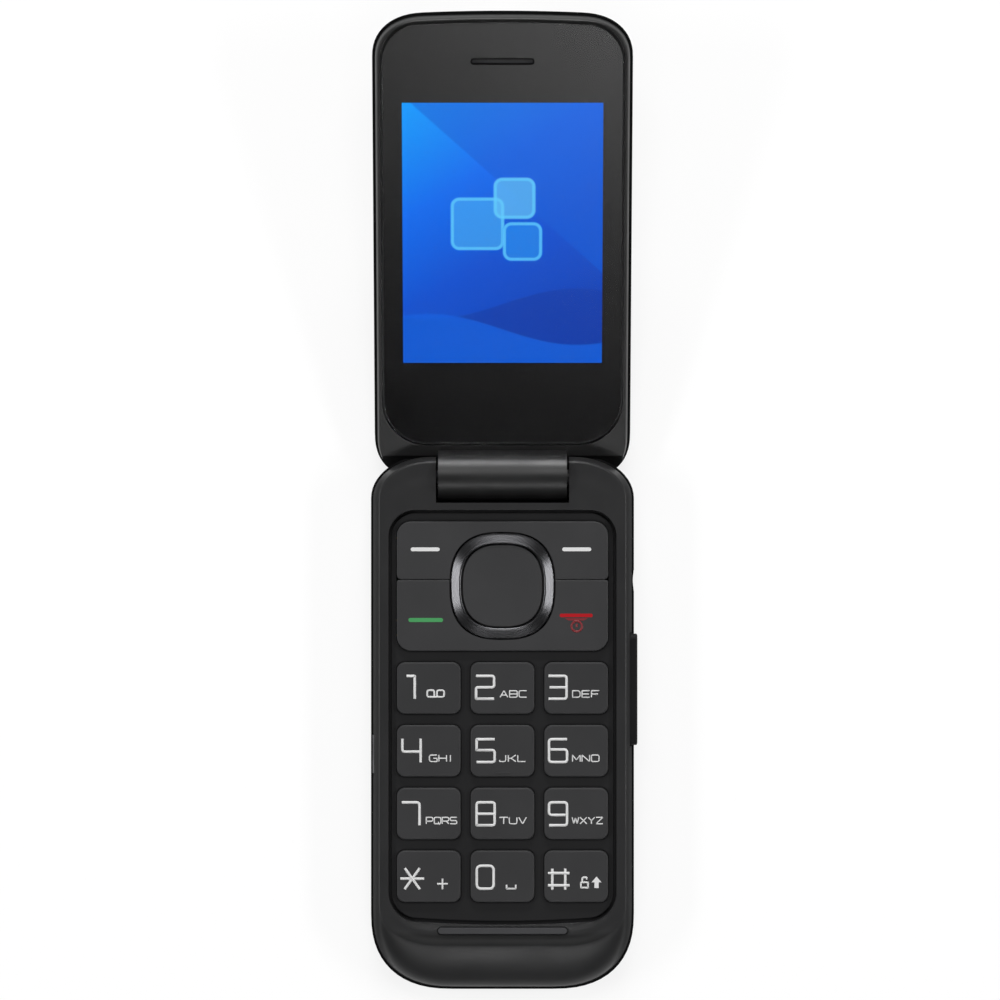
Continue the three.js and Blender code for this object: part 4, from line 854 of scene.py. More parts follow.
def screen_picture(name, glow):
    """The lit picture: a slanting blue sky over two hills, with three overlapping tiles."""
    material, tree, coordinates = new_material(name)
    lid_x, lid_y, lid_z = lid_coordinates(tree, coordinates)
    middle = (DISPLAY_START + DISPLAY_END) / 2
    half_length = (DISPLAY_END - DISPLAY_START) / 2
    x = lid_x / DISPLAY_HALF
    y = (lid_y - middle) / DISPLAY_HALF
    stops = ((0.0, (0, 156, 255)), (0.3, (0, 108, 240)), (0.55, (0, 80, 210)), (1.0, (0, 54, 165)))
    picture = colour_ramp(tree, (x * 0.6 - y).ramp(-1.9, 1.9), [(place, colour(tone)) for place, tone in stops])

    def inside(value, soft):
        return value.ramp(-soft, soft, 1.0, 0.0)

    def lay(share, where, tone):
        return blend_colours(tree, where * share, picture, colour(tone))

    picture = lay(0.6, inside((x * 0.9 + y) * -1.0 + 0.5, 0.01), (0, 92, 216))
    wave = (x * 2.1).run("SINE") * 0.16
    picture = lay(0.7, inside(y - wave + 0.72, 0.01), (0, 56, 168))
    picture = lay(0.7, inside(y + wave + 0.98, 0.01), (0, 98, 226))
    for centre_x, centre_y, half, tone in TILES:
        over_x, over_y = (
            (abs(along - centre) - (half - TILE_CORNER)).run("MAXIMUM", 0.0)
            for along, centre in ((x, centre_x), (y, centre_y)))
        beyond = (over_x * over_x + over_y * over_y).run("SQRT") - TILE_CORNER
        picture = lay(0.55, inside(beyond, 0.008), tone)
        picture = lay(0.7, inside(abs(beyond + 0.02) - 0.014, 0.006), (96, 206, 255))
    edge = (abs(lid_x) - (DISPLAY_HALF + 0.3)).run("MAXIMUM", abs(lid_y - middle) - (half_length + 0.3))
    lit = inside(edge, 0.05) * lid_z.ramp(PLATE_TOP - 0.3, PLATE_TOP - 0.2, 0.0, glow)
    return dress(material, {
        "Emission Color": picture, "Emission Strength": lit, "Base Color": (0.004, 0.004, 0.005, 1),
        "Roughness": noise(tree, coordinates, 0.2, 1.0).ramp(*MIDDLE, 0.3, 0.4), "Specular IOR Level": 0.1,
    })


def finishes():
    """All finishes of the phone, each with what makes it and the values that go after its name."""
    scene = bpy.context.scene
    shell, keypad = scene.flip_phone_shell, scene.flip_phone_keypad

    def tone(value):
        return tuple(part * 255 for part in value)

    return {
        # The housing's last value gives it duller sides and the painted shade on the deck before the foot
        "housing": (moulded, tone(shell.housing_tone), shell.housing_roughness, 0.28, 0.16, 0.012, 0.08,
                    0.06, True),
        "rear": (moulded, tone(shell.rear_tone), 0.6, 0.05),
        "frame": (moulded, tone(shell.frame_tone), 0.42, 0.45),
        "panel": (moulded, tone(keypad.panel_tone), 0.55, 0.12, 0.22, 0.02),
        "keys": (moulded, tone(keypad.key_tone), 0.5, 0.2, 0.12, 0.01),
        "plates": (moulded, tone(keypad.plate_tone), 0.5, 0.2, 0.12, 0.01),
        "ring": (turned_metal, (82, 82, 84), 0.28),
        "legend": (moulded, (207, 207, 207), 0.5, 0.5, 0.1, 0.004, 0.04),
        "green": (moulded, (56, 140, 78), 0.5, 0.5, 0.1, 0.004, 0.05),
        "red": (moulded, (160, 8, 20), 0.6, 0.2, 0.1, 0.004, 0.05),
        "dim_red": (moulded, (112, 18, 26), 0.5, 0.5, 0.1, 0.004, 0.05),
        "lens": (clear_lens,),
        "print": (moulded, (14, 14, 15), 0.1, 1.0, 0.3, 0.001, 0.1, 0.02),
        # Black print on the ear slot's wall, which also stands as painted shade in the slot
        "matt_print": (moulded, (9, 9, 10), 0.8, 0.1, 0.2, 0.002),
        "screen": (screen_picture, scene.flip_phone_display.glow),
        "rubber": (moulded, (55, 55, 57), 0.75, 0.3, 0.2, 0.02),
        "black_rubber": (moulded, (20, 20, 21), 0.8, 0.5, 0.2, 0.02),
        "camera": (moulded, (17, 17, 18), 0.35, 0.5, 0.1, 0.004),
        "camera_glass": (moulded, (16, 18, 34), 0.06, 1.0, 0.5, 0.0005, 0.3, 0.02),
        "side_key": (moulded, (22, 22, 23), 0.5, 0.12, 0.12, 0.01),
        "silicone": (moulded, (74, 74, 76), 0.7, 0.5, 0.3, 0.02),
        "steel": (metal, (180, 181, 184), 0.3, (1.0, 0.08, 1.0)),
        "blackened": (metal, (30, 30, 32), 0.4, (1.0, 0.08, 1.0)),
        "magnet": (metal, (188, 188, 190), 0.25),
        "mesh": (woven, (70, 70, 72)),
        "board": (circuit_board,),
        "battery": (battery_wrap,),
        "flex": (flex_film,),
        "domes": (dome_film,),
        "aerial": (aerial,),
    }


def finish(look):
    """The finish of that name, made when it is first asked for."""
    name = "flip_" + look
    make, *values = finishes()[look]
    return bpy.data.materials.get(name) or make(name, *values)


# Settings
def tone_setting(name, description, *value):
    return bpy.props.FloatVectorProperty(
        name=name, description=description, subtype="COLOR_GAMMA", size=3, min=0, max=1, default=value)


def length_setting(name, description, value, **limits):
    return bpy.props.FloatProperty(
        name=name, description=description, unit="LENGTH", default=value * MM, **limits)


def power_setting(name, description, value):
    return bpy.props.FloatProperty(name=name, description=description, unit="POWER", default=value)


def strength_setting(name, description, value):
    return bpy.props.FloatProperty(name=name, description=description, min=0, default=value)


class FlipPhoneShell(bpy.types.PropertyGroup):
    housing_tone: tone_setting("Housing colour", "Display colour of the housings", 0.138, 0.138, 0.141)
    rear_tone: tone_setting(
        "Rear colour", "Display colour of the rear housing, covers and band", 0.06, 0.06, 0.063)
    frame_tone: tone_setting(
        "Lid frame colour", "Display colour of the lid's frame and barrel", 0.048, 0.048, 0.05)
    housing_roughness: bpy.props.FloatProperty(
        name="Housing roughness", description="How matt the housings are", subtype="FACTOR",
        min=0, max=1, default=0.38)
    edge_round: length_setting("Edge rounding", "Rounding of the housings' sharp edges", 0.12, min=0)


class FlipPhoneKeypad(bpy.types.PropertyGroup):
    key_tone: tone_setting("Key colour", "Display colour of the key caps", 0.186, 0.186, 0.19)
    plate_tone: tone_setting("Plate colour", "Display colour of the function keys", 0.197, 0.197, 0.201)
    panel_tone: tone_setting(
        "Panel colour", "Display colour of the floor between the keys", 0.113, 0.113, 0.116)
    key_width: length_setting("Key width", "Width of a digit key", KEY_WIDTH)
    key_height: length_setting("Key height", "Height of a digit key", KEY_HEIGHT)
    stroke: length_setting("Digit stroke", "Width of the printed digits' lines", 0.5)
    small_stroke: length_setting("Letter stroke", "Width of the small letters' lines", 0.22)


class FlipPhoneDisplay(bpy.types.PropertyGroup):
    glow: strength_setting("Screen glow", "Strength of the lit screen", 1.0)


class FlipPhoneStage(bpy.types.PropertyGroup):
    camera_height: length_setting("Camera height", "Height of the camera over the floor", 911.0)
    main_power: power_setting("Main lamp", "Power of the large lamp beyond the lid", 3.6)
    low_power: power_setting("Low strip", "Power of the low strip beyond the lid", 6.0)
    side_power: power_setting("Side strips", "Power of each strip at the sides", 2.7)
    foot_power: power_setting("Foot lamp", "Power of the lamp before the foot", 1.2)
    sky: strength_setting("Sky", "Strength of the soft light from all round", 0.1)
    overhead: strength_setting("Overhead glow", "Brightness of the soft patch that the lens mirrors", 1.2)


# Base
def upper_shell(name):
    """Sides that lean in to a crisp crease, and a deck dished a little inside it."""
    crease, last = math.radians(62), math.radians(57)
    rise = THICKNESS - PARTING - PARTING_GAP
    side_steps, round_steps = 12, 5
    rings = []

    def add_side(inward, up, more):
        plan = base_plan(blend(BAND_STEP, SIDE_CREASE, inward), blend(BAND_STEP, END_CREASE, inward),
                         blend(BAND_STEP, CHIN_INSET, inward), inward, more)
        rings.append((PARTING + PARTING_GAP + rise * up, plan))

    def shares(angle):
        return (1 - math.cos(angle)) / (1 - math.cos(crease)), math.sin(angle) / math.sin(crease)

    def dish(share):
        def level(x, y):
            foot = min(max((DISH_START - y) / DISH_LENGTH, 0), 1)
            return THICKNESS - share * blend(SIDE_DISH, VALLEY_DEPTH, foot * foot * (3 - 2 * foot))
        return level

    for step in range(side_steps + 1):
        add_side(*shares(last * step / side_steps), 0.0)
    for step in range(1, round_steps + 1):
        t = step / round_steps
        inward, up = ((1 - t) ** 2 * start + (2 * t - t * t) for start in shares(last))
        add_side(inward, up, CREASE_ROUND * t * t)
    for reach, share in DISH:
        rings.append((dish(share), base_plan(SIDE_CREASE, END_CREASE, CHIN_INSET, 1, CREASE_ROUND + reach)))
    return loft(name, rings)


def lower_shell(name, inset, low):
    rings = []
    for across, up in quarter_turn(12):
        drawn = inset + REAR_EDGE_INSET * (1 - up)
        rings.append((REAR_EDGE_HEIGHT - (REAR_EDGE_HEIGHT - low) * across, base_plan(drawn, drawn, drawn)))
    rings += [(height, base_plan(inset, inset, inset)) for height in (COVER_TOP, PARTING)]
    return loft(name, rings)


def ear_profile():
    lip = math.sqrt((EAR_RADIUS + LID_EAR_GAP) ** 2 - LID_TAIL ** 2)
    stop = HINGE_Y - LID_TAIL * math.cos(REST_TILT) + lip * math.sin(REST_TILT) - STOP_GAP
    points = [(-2 * HALF_LENGTH, -OVERRUN), (stop - STOP_BEVEL - OVERRUN, -OVERRUN), (stop, STOP_BEVEL)]
    first = -math.acos((stop - HINGE_Y) / EAR_RADIUS)
    for step in range(33):
        angle = first + (math.pi / 2 - first) * step / 32
        points.append((HINGE_Y + EAR_RADIUS * math.cos(angle), HINGE_Z + EAR_RADIUS * math.sin(angle)))
    points.append((-2 * HALF_LENGTH, HINGE_Z + EAR_RADIUS))
    return side_prism("ears", points, -HALF_WIDTH - OVERRUN, HALF_WIDTH + OVERRUN)


def notch_tool():
    """The barrel's place: open above the hinge axis, and a saddle round the barrel under it."""
    reach = BARREL_RADIUS + BARREL_GAP
    points = [(2 * HALF_LENGTH, HINGE_Z - reach), (2 * HALF_LENGTH, THICKNESS + OVERRUN),
              (NOTCH_Y, THICKNESS + OVERRUN)]
    for step in range(25):
        angle = math.pi * blend(1.0, 1.5, step / 24)
        points.append((HINGE_Y + reach * math.cos(angle), HINGE_Z + reach * math.sin(angle)))
    return side_prism("notch", points, -NOTCH_HALF, NOTCH_HALF)


def volume_opening():
    def span(middle, size):
        return middle - size / 2 - VOLUME_GAP, middle + size / 2 + VOLUME_GAP

    return block("volume opening", (HALF_WIDTH - WALL * 2, HALF_WIDTH + OVERRUN),
                 span(VOLUME_Y, VOLUME_LENGTH), span(VOLUME_Z, VOLUME_HEIGHT))


def port_openings():
    jack = side_prism("jack hole", circle(JACK_HOLE, JACK_Y, JACK_Z), HALF_WIDTH - JACK_HOLE_DEPTH,
                      HALF_WIDTH + OVERRUN)
    usb = block("usb opening", (-HALF_WIDTH - OVERRUN, -USB_INNER_X), (USB_Y - USB_HALF, USB_Y + USB_HALF),
                (PARTING, USB_TOP))
    return jack, usb


def pin_bores():
    bores = []
    for side in (-1, 1):
        ends = sorted((side * (NOTCH_HALF - OVERRUN), side * (NOTCH_HALF + PIN_REACH)))
        bores.append(side_prism("pin bore", circle(PIN_BORE, HINGE_Y, HINGE_Z), *ends))
    return bores


def front_housing(edge):
    cavity_chin = BAND_STEP + WALL * 2
    levels = (
        (PARTING - OVERRUN, WALL, cavity_chin - WALL),
        (PARTING + PARTING_GAP, WALL, cavity_chin),
        (DECK_BOTTOM, WALL + SIDE_CREASE / 2, CHIN_INSET),
    )
    hollow = loft("hollow", [(height, cavity_plan(HALF_WIDTH - side, CAVITY_TOP_Y, chin))
                             for height, side, chin in levels])
    rim = [(THICKNESS - WINDOW_RIM * (1 - up), window_plan(WINDOW_RIM * (1 - across)))
           for across, up in quarter_turn(5)]
    window = loft("window", [(DECK_BOTTOM - OVERRUN, window_plan(0)), *rim,
                             (THICKNESS + OVERRUN, window_plan(WINDOW_RIM))])
    slot = prism("bumper slot", moved(pill(BUMPER_HALF, BUMPER_WIDTH / 2, BUMPER_GAP), 0, BUMPER_Y),
                 THICKNESS - BUMPER_SLOT_DEPTH, THICKNESS + OVERRUN)
    housing = upper_shell("front_housing_shell")
    keep_inside(housing, ear_profile())
    cut(housing, notch_tool(), hollow, window, slot, volume_opening(), *port_openings(), *pin_bores())
    return soften(housing, edge)


def rear_housing(edge):
    housing = lower_shell("rear_housing_shell", 0, 0)
    cut(housing, block("cover place", (-BEYOND, BEYOND), (-BEYOND, COVER_EDGE_Y + PARTING_GAP),
                       (-OVERRUN, COVER_TOP + PARTING_GAP)))
    inner = WALL + SEAT_GAP
    core = lower_shell("core", inner, COVER_WALL + SEAT_GAP)
    cut(core, block("core end", (-BEYOND, BEYOND), (CAVITY_TOP_Y, BEYOND), (-OVERRUN, THICKNESS)))
    lip = prism("lip", cavity_plan(HALF_WIDTH - inner - SEAT_GAP, CAVITY_TOP_Y - SEAT_GAP,
                                   BAND_STEP + WALL * 3 + SEAT_GAP), COVER_TOP, TRAY_TOP)
    join(housing, core, lip)
    pocket_inset = inner + TRAY_WALL
    pocket_plan = cavity_plan(HALF_WIDTH - pocket_inset - POCKET_STEP, CAVITY_TOP_Y - SEAT_GAP - TRAY_WALL,
                              BAND_STEP + pocket_inset + WALL)
    pocket = prism("pocket", pocket_plan, TRAY_FLOOR, TRAY_TOP + OVERRUN)
    cut(pocket, block("bay walls", (-BAY_HALF - TRAY_WALL, BAY_HALF + TRAY_WALL),
                      (BAY_FOOT - TRAY_WALL, SIM_TOP + TRAY_WALL), (0, TRAY_TOP)))
    below = (-OVERRUN, BAY_CEILING)
    bay = block("bay", (-BAY_HALF, BAY_HALF), (BAY_FOOT, BAY_TOP), below)
    sim = block("sim pocket", (-SIM_HALF, SIM_HALF), (SIM_BOTTOM, SIM_TOP), below)
    contacts = block("contact slot", CONTACT_SPAN, (BAY_TOP - OVERRUN, BAY_TOP + CONTACT_DEPTH),
                     (COVER_WALL, THICKNESS))
    cut(housing, pocket, bay, sim, contacts, *port_openings(), notch_tool(), *pin_bores())
    keep_inside(housing, ear_profile())
    wells = [prism("head well", circle(SCREW_HEAD + SEAT_GAP, x, y, 32), -OVERRUN,
                   head + SCREW_HEAD_HEIGHT + SEAT_GAP) for x, y, head, node in base_screws()]
    speaker_y = (SIM_TOP + TRAY_WALL + CAVITY_TOP_Y) / 2
    for slot in (-1, 0, 1):
        plan = moved(pill(*SPEAKER_SLOT), SPEAKER_X, speaker_y + slot * SPEAKER_PITCH)
        wells.append(prism("speaker slot", plan, -OVERRUN, TRAY_FLOOR + OVERRUN))
    cut(housing, *wells)
    return soften(housing, edge)


def battery_cover(edge):
    cover = lower_shell("battery_cover_skin", 0, 0)
    cut(cover, lower_shell("cover hollow", COVER_WALL, COVER_WALL))
    keep_inside(cover, block("cover reach", (-BEYOND, BEYOND), (-BEYOND, COVER_EDGE_Y), (-OVERRUN, COVER_TOP)))
    return soften(cover, edge)


class FLIPPHONE_OT_base(bpy.types.Operator):
    """Build the base's housings, its battery cover and the bumper strip"""
    bl_idname = "flip_phone.base"
    bl_label = "Base housings"

    def execute(self, context):
        edge = context.scene.flip_phone_shell.edge_round / MM
        finish_piece(front_housing(edge), "housing", "base", "housing_plastic", "front_housing")
        finish_piece(rear_housing(edge), "rear", "base", "housing_plastic", "rear_housing")
        finish_piece(battery_cover(edge), "rear", "battery_door", "housing_plastic", "battery_cover")
        strip = moved(pill(BUMPER_HALF, BUMPER_WIDTH / 2), 0, BUMPER_Y)
        bumper = soften(prism("lid_bumper_strip", strip, BUMPER_BOTTOM, BUMPER_TOP), 0.2, 3)
        finish_piece(bumper, "rubber", "base", "black_rubber", "lid_bumper")
        return {"FINISHED"}


# Keypad
def key_place(index):
    """Where the middle of a digit key stands, counted from the top left."""
    return (index % 3 - 1) * KEY_PITCH_X, KEY_FIRST_Y - index // 3 * KEY_PITCH_Y


def rounded_cap(name, plan_at, bottom, top, radius, place=None):
    rings = [(top - radius * (1 - up) * CAP_FALL, plan_at(radius * (1 - across)))
             for across, up in quarter_turn(5)]
    return loft(name, [(bottom, plan_at(0.0)), *rings], place)


def key_cap(width, height):
    def plan_at(inset):
        return oblong(width / 2 - inset, -height / 2 + inset, height / 2 - inset, KEY_CORNER - inset)

    cap = rounded_cap("key cap", plan_at, KEY_FLANGE_BOTTOM, KEY_TOP, KEY_ROUND)
    flange = prism("flange", plan_at(-KEY_FLANGE), KEY_FLANGE_BOTTOM, KEY_FLANGE_TOP)
    return soften(join(cap, flange), 0.0, limit=30)


def group_tree(name, inputs):
    """A new geometry tree with named inputs, and the sockets that give their values."""
    tree = bpy.data.node_groups.new(name, "GeometryNodeTree")
    for label, kind in inputs.items():
        tree.interface.new_socket(label, in_out="INPUT", socket_type="NodeSocket" + kind)
    tree.interface.new_socket("Geometry", in_out="OUTPUT", socket_type="NodeSocketGeometry")
    return tree, tree.nodes.new("NodeGroupInput").outputs


def copied(tree, thing, place, **turn):
    """One copy of an object at a point."""
    point = add_node(tree, "GeometryNodePoints", {"Count": 1, "Position": place})
    source = add_node(tree, "GeometryNodeObjectInfo", {"Object": thing}, transform_space="ORIGINAL")
    return add_node(tree, "GeometryNodeInstanceOnPoints", {
        "Points": point.outputs[0], "Instance": source.outputs["Geometry"], **turn,
    }).outputs[0]


def close_tree(tree, geometry, material):
    """Makes the tree's result real, coats it and hands it out."""
    real = add_node(tree, "GeometryNodeRealizeInstances", {"Geometry": geometry})
    coated = add_node(tree, "GeometryNodeSetMaterial", {"Geometry": real.outputs[0], "Material": material})
    add_node(tree, "NodeGroupOutput", {"Geometry": coated.outputs[0]})
    return tree


def key_grid_tree():
    """Places one cap of the key grid, counted from the top left."""
    tree, given = group_tree("key grid", {
        "Cap": "Object", "Which": "Int", "Columns": "Int", "Pitch X": "Float", "Pitch Y": "Float",
        "First Y": "Float", "Finish": "Material",
    })
    which, columns, pitch_x, pitch_y, first_y = (
        Field(tree, given[name]) for name in ("Which", "Columns", "Pitch X", "Pitch Y", "First Y"))
    column = which.run("MODULO", columns)
    row = (which / columns).run("FLOOR")
    place = add_node(tree, "ShaderNodeCombineXYZ", {
        "X": (column - (columns - 1.0) * 0.5) * pitch_x, "Y": first_y - row * pitch_y,
    })
    return close_tree(tree, copied(tree, given["Cap"], place.outputs[0]), given["Finish"])


def fastener_tree():
    """Places one fastener with its head's face at a point."""
    tree, given = group_tree("fastener", {
        "Fastener": "Object", "Place": "Vector", "Turn": "Vector", "Finish": "Material",
    })
    turn = add_node(tree, "FunctionNodeEulerToRotation", {"Euler": given["Turn"]}).outputs[0]
    return close_tree(tree, copied(tree, given["Fastener"], given["Place"], Rotation=turn), given["Finish"])


def run_tree(name, tree, values, mesh=None):
    """Runs a node tree with its named inputs and keeps the result as a plain piece."""
    piece = bpy.data.objects.new(name, mesh or bpy.data.meshes.new(name))
    bpy.context.scene.collection.objects.link(piece)
    modifier = piece.modifiers.new(tree.name, "NODES")
    modifier.node_group = tree
    for item in tree.interface.items_tree:
        if item.item_type == "SOCKET" and item.in_out == "INPUT" and item.name in values:
            modifier[item.identifier] = values[item.name]
    return settle(piece)


def screw_blank(length):
    """A pan head with a cross recess, its face at zero, and a threaded shank upwards."""
    root = SCREW_SHANK - SCREW_THREAD
    profile = [(SCREW_HEAD - 0.3, 0.0), (SCREW_HEAD - 0.08, 0.1), (SCREW_HEAD, 0.3),
               (SCREW_HEAD, SCREW_HEAD_HEIGHT), (SCREW_SHANK, SCREW_HEAD_HEIGHT)]
    z = SCREW_HEAD_HEIGHT + SCREW_PITCH
    while z < length - SCREW_SHANK:
        profile += [(root, z), (SCREW_SHANK, z + SCREW_PITCH / 2)]
        z += SCREW_PITCH
    profile += [(root, length - SCREW_SHANK / 2), (SCREW_SHANK * 0.4, length)]
    blank = loft("screw blank", [(z, circle(radius, sides=32)) for radius, z in profile])
    along, across = ((-half, half) for half in RECESS_HALVES)
    bars = [block("recess", x, y, (-OVERRUN, RECESS_DEPTH)) for x, y in ((along, across), (across, along))]
    return soften(cut(blank, *bars), limit=40)


def base_screws():
    """Place, head height and node of each screw of the base."""
    return [(side * x, y, head, f"base_screw_{row}_{hand}")
            for (x, y, head), row in ((TOP_SCREW, "top"), (FOOT_SCREW, "foot"))
            for side, hand in ((-1, "left"), (1, "right"))]


def function_plate(name, bottom, top, seam_corner):
    low = KEY_TOP - PLATE_THICKNESS
    corner = (seam_corner, seam_corner)

    def strip_at(inset):
        return outline(CLUSTER_HALF - inset, top - inset, bottom + inset, corner, corner, steps=8, edges=1)

    plate = rounded_cap(name, strip_at, low, KEY_TOP, PLATE_ROUND)
    keep_inside(plate, rounded_cap("cluster", cluster_plan, low - OVERRUN, KEY_TOP, PLATE_ROUND))
    hole = prism("ring hole", squircle(-ROCK_GAP), low - OVERRUN, THICKNESS + OVERRUN)
    return soften(cut(plate, hole), 0.1)


def keypad_floor(width, height):
    """The floor between the keys, with its openings and the groove round it."""
    corner = (WINDOW_CORNER, WINDOW_CORNER)
    plan = outline(WINDOW_HALF + PANEL_LIP, WINDOW_TOP + PANEL_LIP, WINDOW_BOTTOM - PANEL_LIP, corner, corner,
                   bottom_bow=WINDOW_BOW)
    panel = prism("keypad_floor", plan, PANEL_BOTTOM, PANEL_TOP)
    through = (PANEL_BOTTOM - OVERRUN, PANEL_TOP + OVERRUN)
    holes = [prism("cluster hole", cluster_plan(-KEY_GAP), *through)]
    for index in range(len(KEY_NAMES)):
        x, y = key_place(index)
        hole = oblong(width / 2 + KEY_GAP, y - height / 2 - KEY_GAP, y + height / 2 + KEY_GAP,
                      KEY_CORNER + KEY_GAP)
        holes.append(prism("key hole", moved(hole, x, 0), *through))
    groove = prism("groove", window_plan(0), PANEL_TOP - GROOVE_DEPTH, PANEL_TOP + OVERRUN)
    cut(groove, prism("field", window_plan(-GROOVE_WIDTH), 0, THICKNESS + OVERRUN))
    return soften(cut(panel, groove, *holes), 0.08)


class FLIPPHONE_OT_keypad(bpy.types.Operator):
    """Build the keypad floor, the twelve digit keys, the function plates and the centre key"""
    bl_idname = "flip_phone.keypad"
    bl_label = "Keypad"

    def execute(self, context):
        settings = context.scene.flip_phone_keypad
        width, height = settings.key_width / MM, settings.key_height / MM
        finish_piece(keypad_floor(width, height), "panel", "base", "panel_plastic", "keypad_panel")

        plain = key_cap(width, height)
        dotted = key_cap(width, height)
        dotted.name = "dotted cap"
        low, high = (BAR_RISE - height / 2 + side * BAR_HALF_HEIGHT for side in (-1, 1))
        bar = prism("bar", oblong(BAR_HALF_WIDTH, low, high, BAR_CORNER, 4), KEY_TOP - BAR_PROUD,
                    KEY_TOP + BAR_PROUD)
        soften(join(dotted, bar), 0.05, 2, 30)
        tree = key_grid_tree()
        for index, key in enumerate(KEY_NAMES):
            piece = run_tree(key + "_cap", tree, {
                "Cap": dotted if key == "key_5" else plain, "Which": index, "Columns": 3,
                "Pitch X": KEY_PITCH_X * MM, "Pitch Y": KEY_PITCH_Y * MM, "First Y": KEY_FIRST_Y * MM,
                "Finish": finish("keys"),
            })
            finish_piece(piece, "keys", key + "_body", "key_plastic", key)
        for cap in (plain, dotted):
            bpy.data.objects.remove(cap)

        upper = function_plate("soft_key_plate", SEAM_Y + SEAM / 2, CLUSTER_TOP, SOFT_KEY_CORNER)
        lower = function_plate("call_end_plate", CLUSTER_BOTTOM, SEAM_Y - SEAM / 2, CALL_KEY_CORNER)
        finish_piece(upper, "plates", "soft_keys_body", "key_plastic", "soft_keys")
        finish_piece(lower, "plates", "call_end_keys_body", "key_plastic", "call_end_keys")
        centre = rounded_cap("ok_key_cap", lambda inset: squircle(RING_WIDTH + ROCK_GAP + inset), RING_BOTTOM,
                             KEY_TOP, PLATE_ROUND)
        finish_piece(soften(centre, limit=30), "plates", "ok_key_body", "key_plastic", "ok_key")
        return {"FINISHED"}


class FLIPPHONE_OT_ring(bpy.types.Operator):
    """Build the plated four-way ring"""
    bl_idname = "flip_phone.ring"
    bl_label = "Navigation ring"

    def execute(self, context):
        profile = [
            (0.0, RING_BOTTOM), (0.0, RING_TOP - RING_SLOPE_DROP), (RING_SLOPE, RING_TOP),
            (RING_WIDTH - RING_INNER_BEVEL, RING_TOP), (RING_WIDTH, RING_TOP - RING_INNER_BEVEL),
            (RING_WIDTH, RING_BOTTOM),
        ]
        ring = soften(swept_ring("nav_ring_band", profile, squircle), 0.1, 2, 20)
        finish_piece(ring, "ring", "nav_ring_body", "ring_metal", "nav_ring")
        return {"FINISHED"}


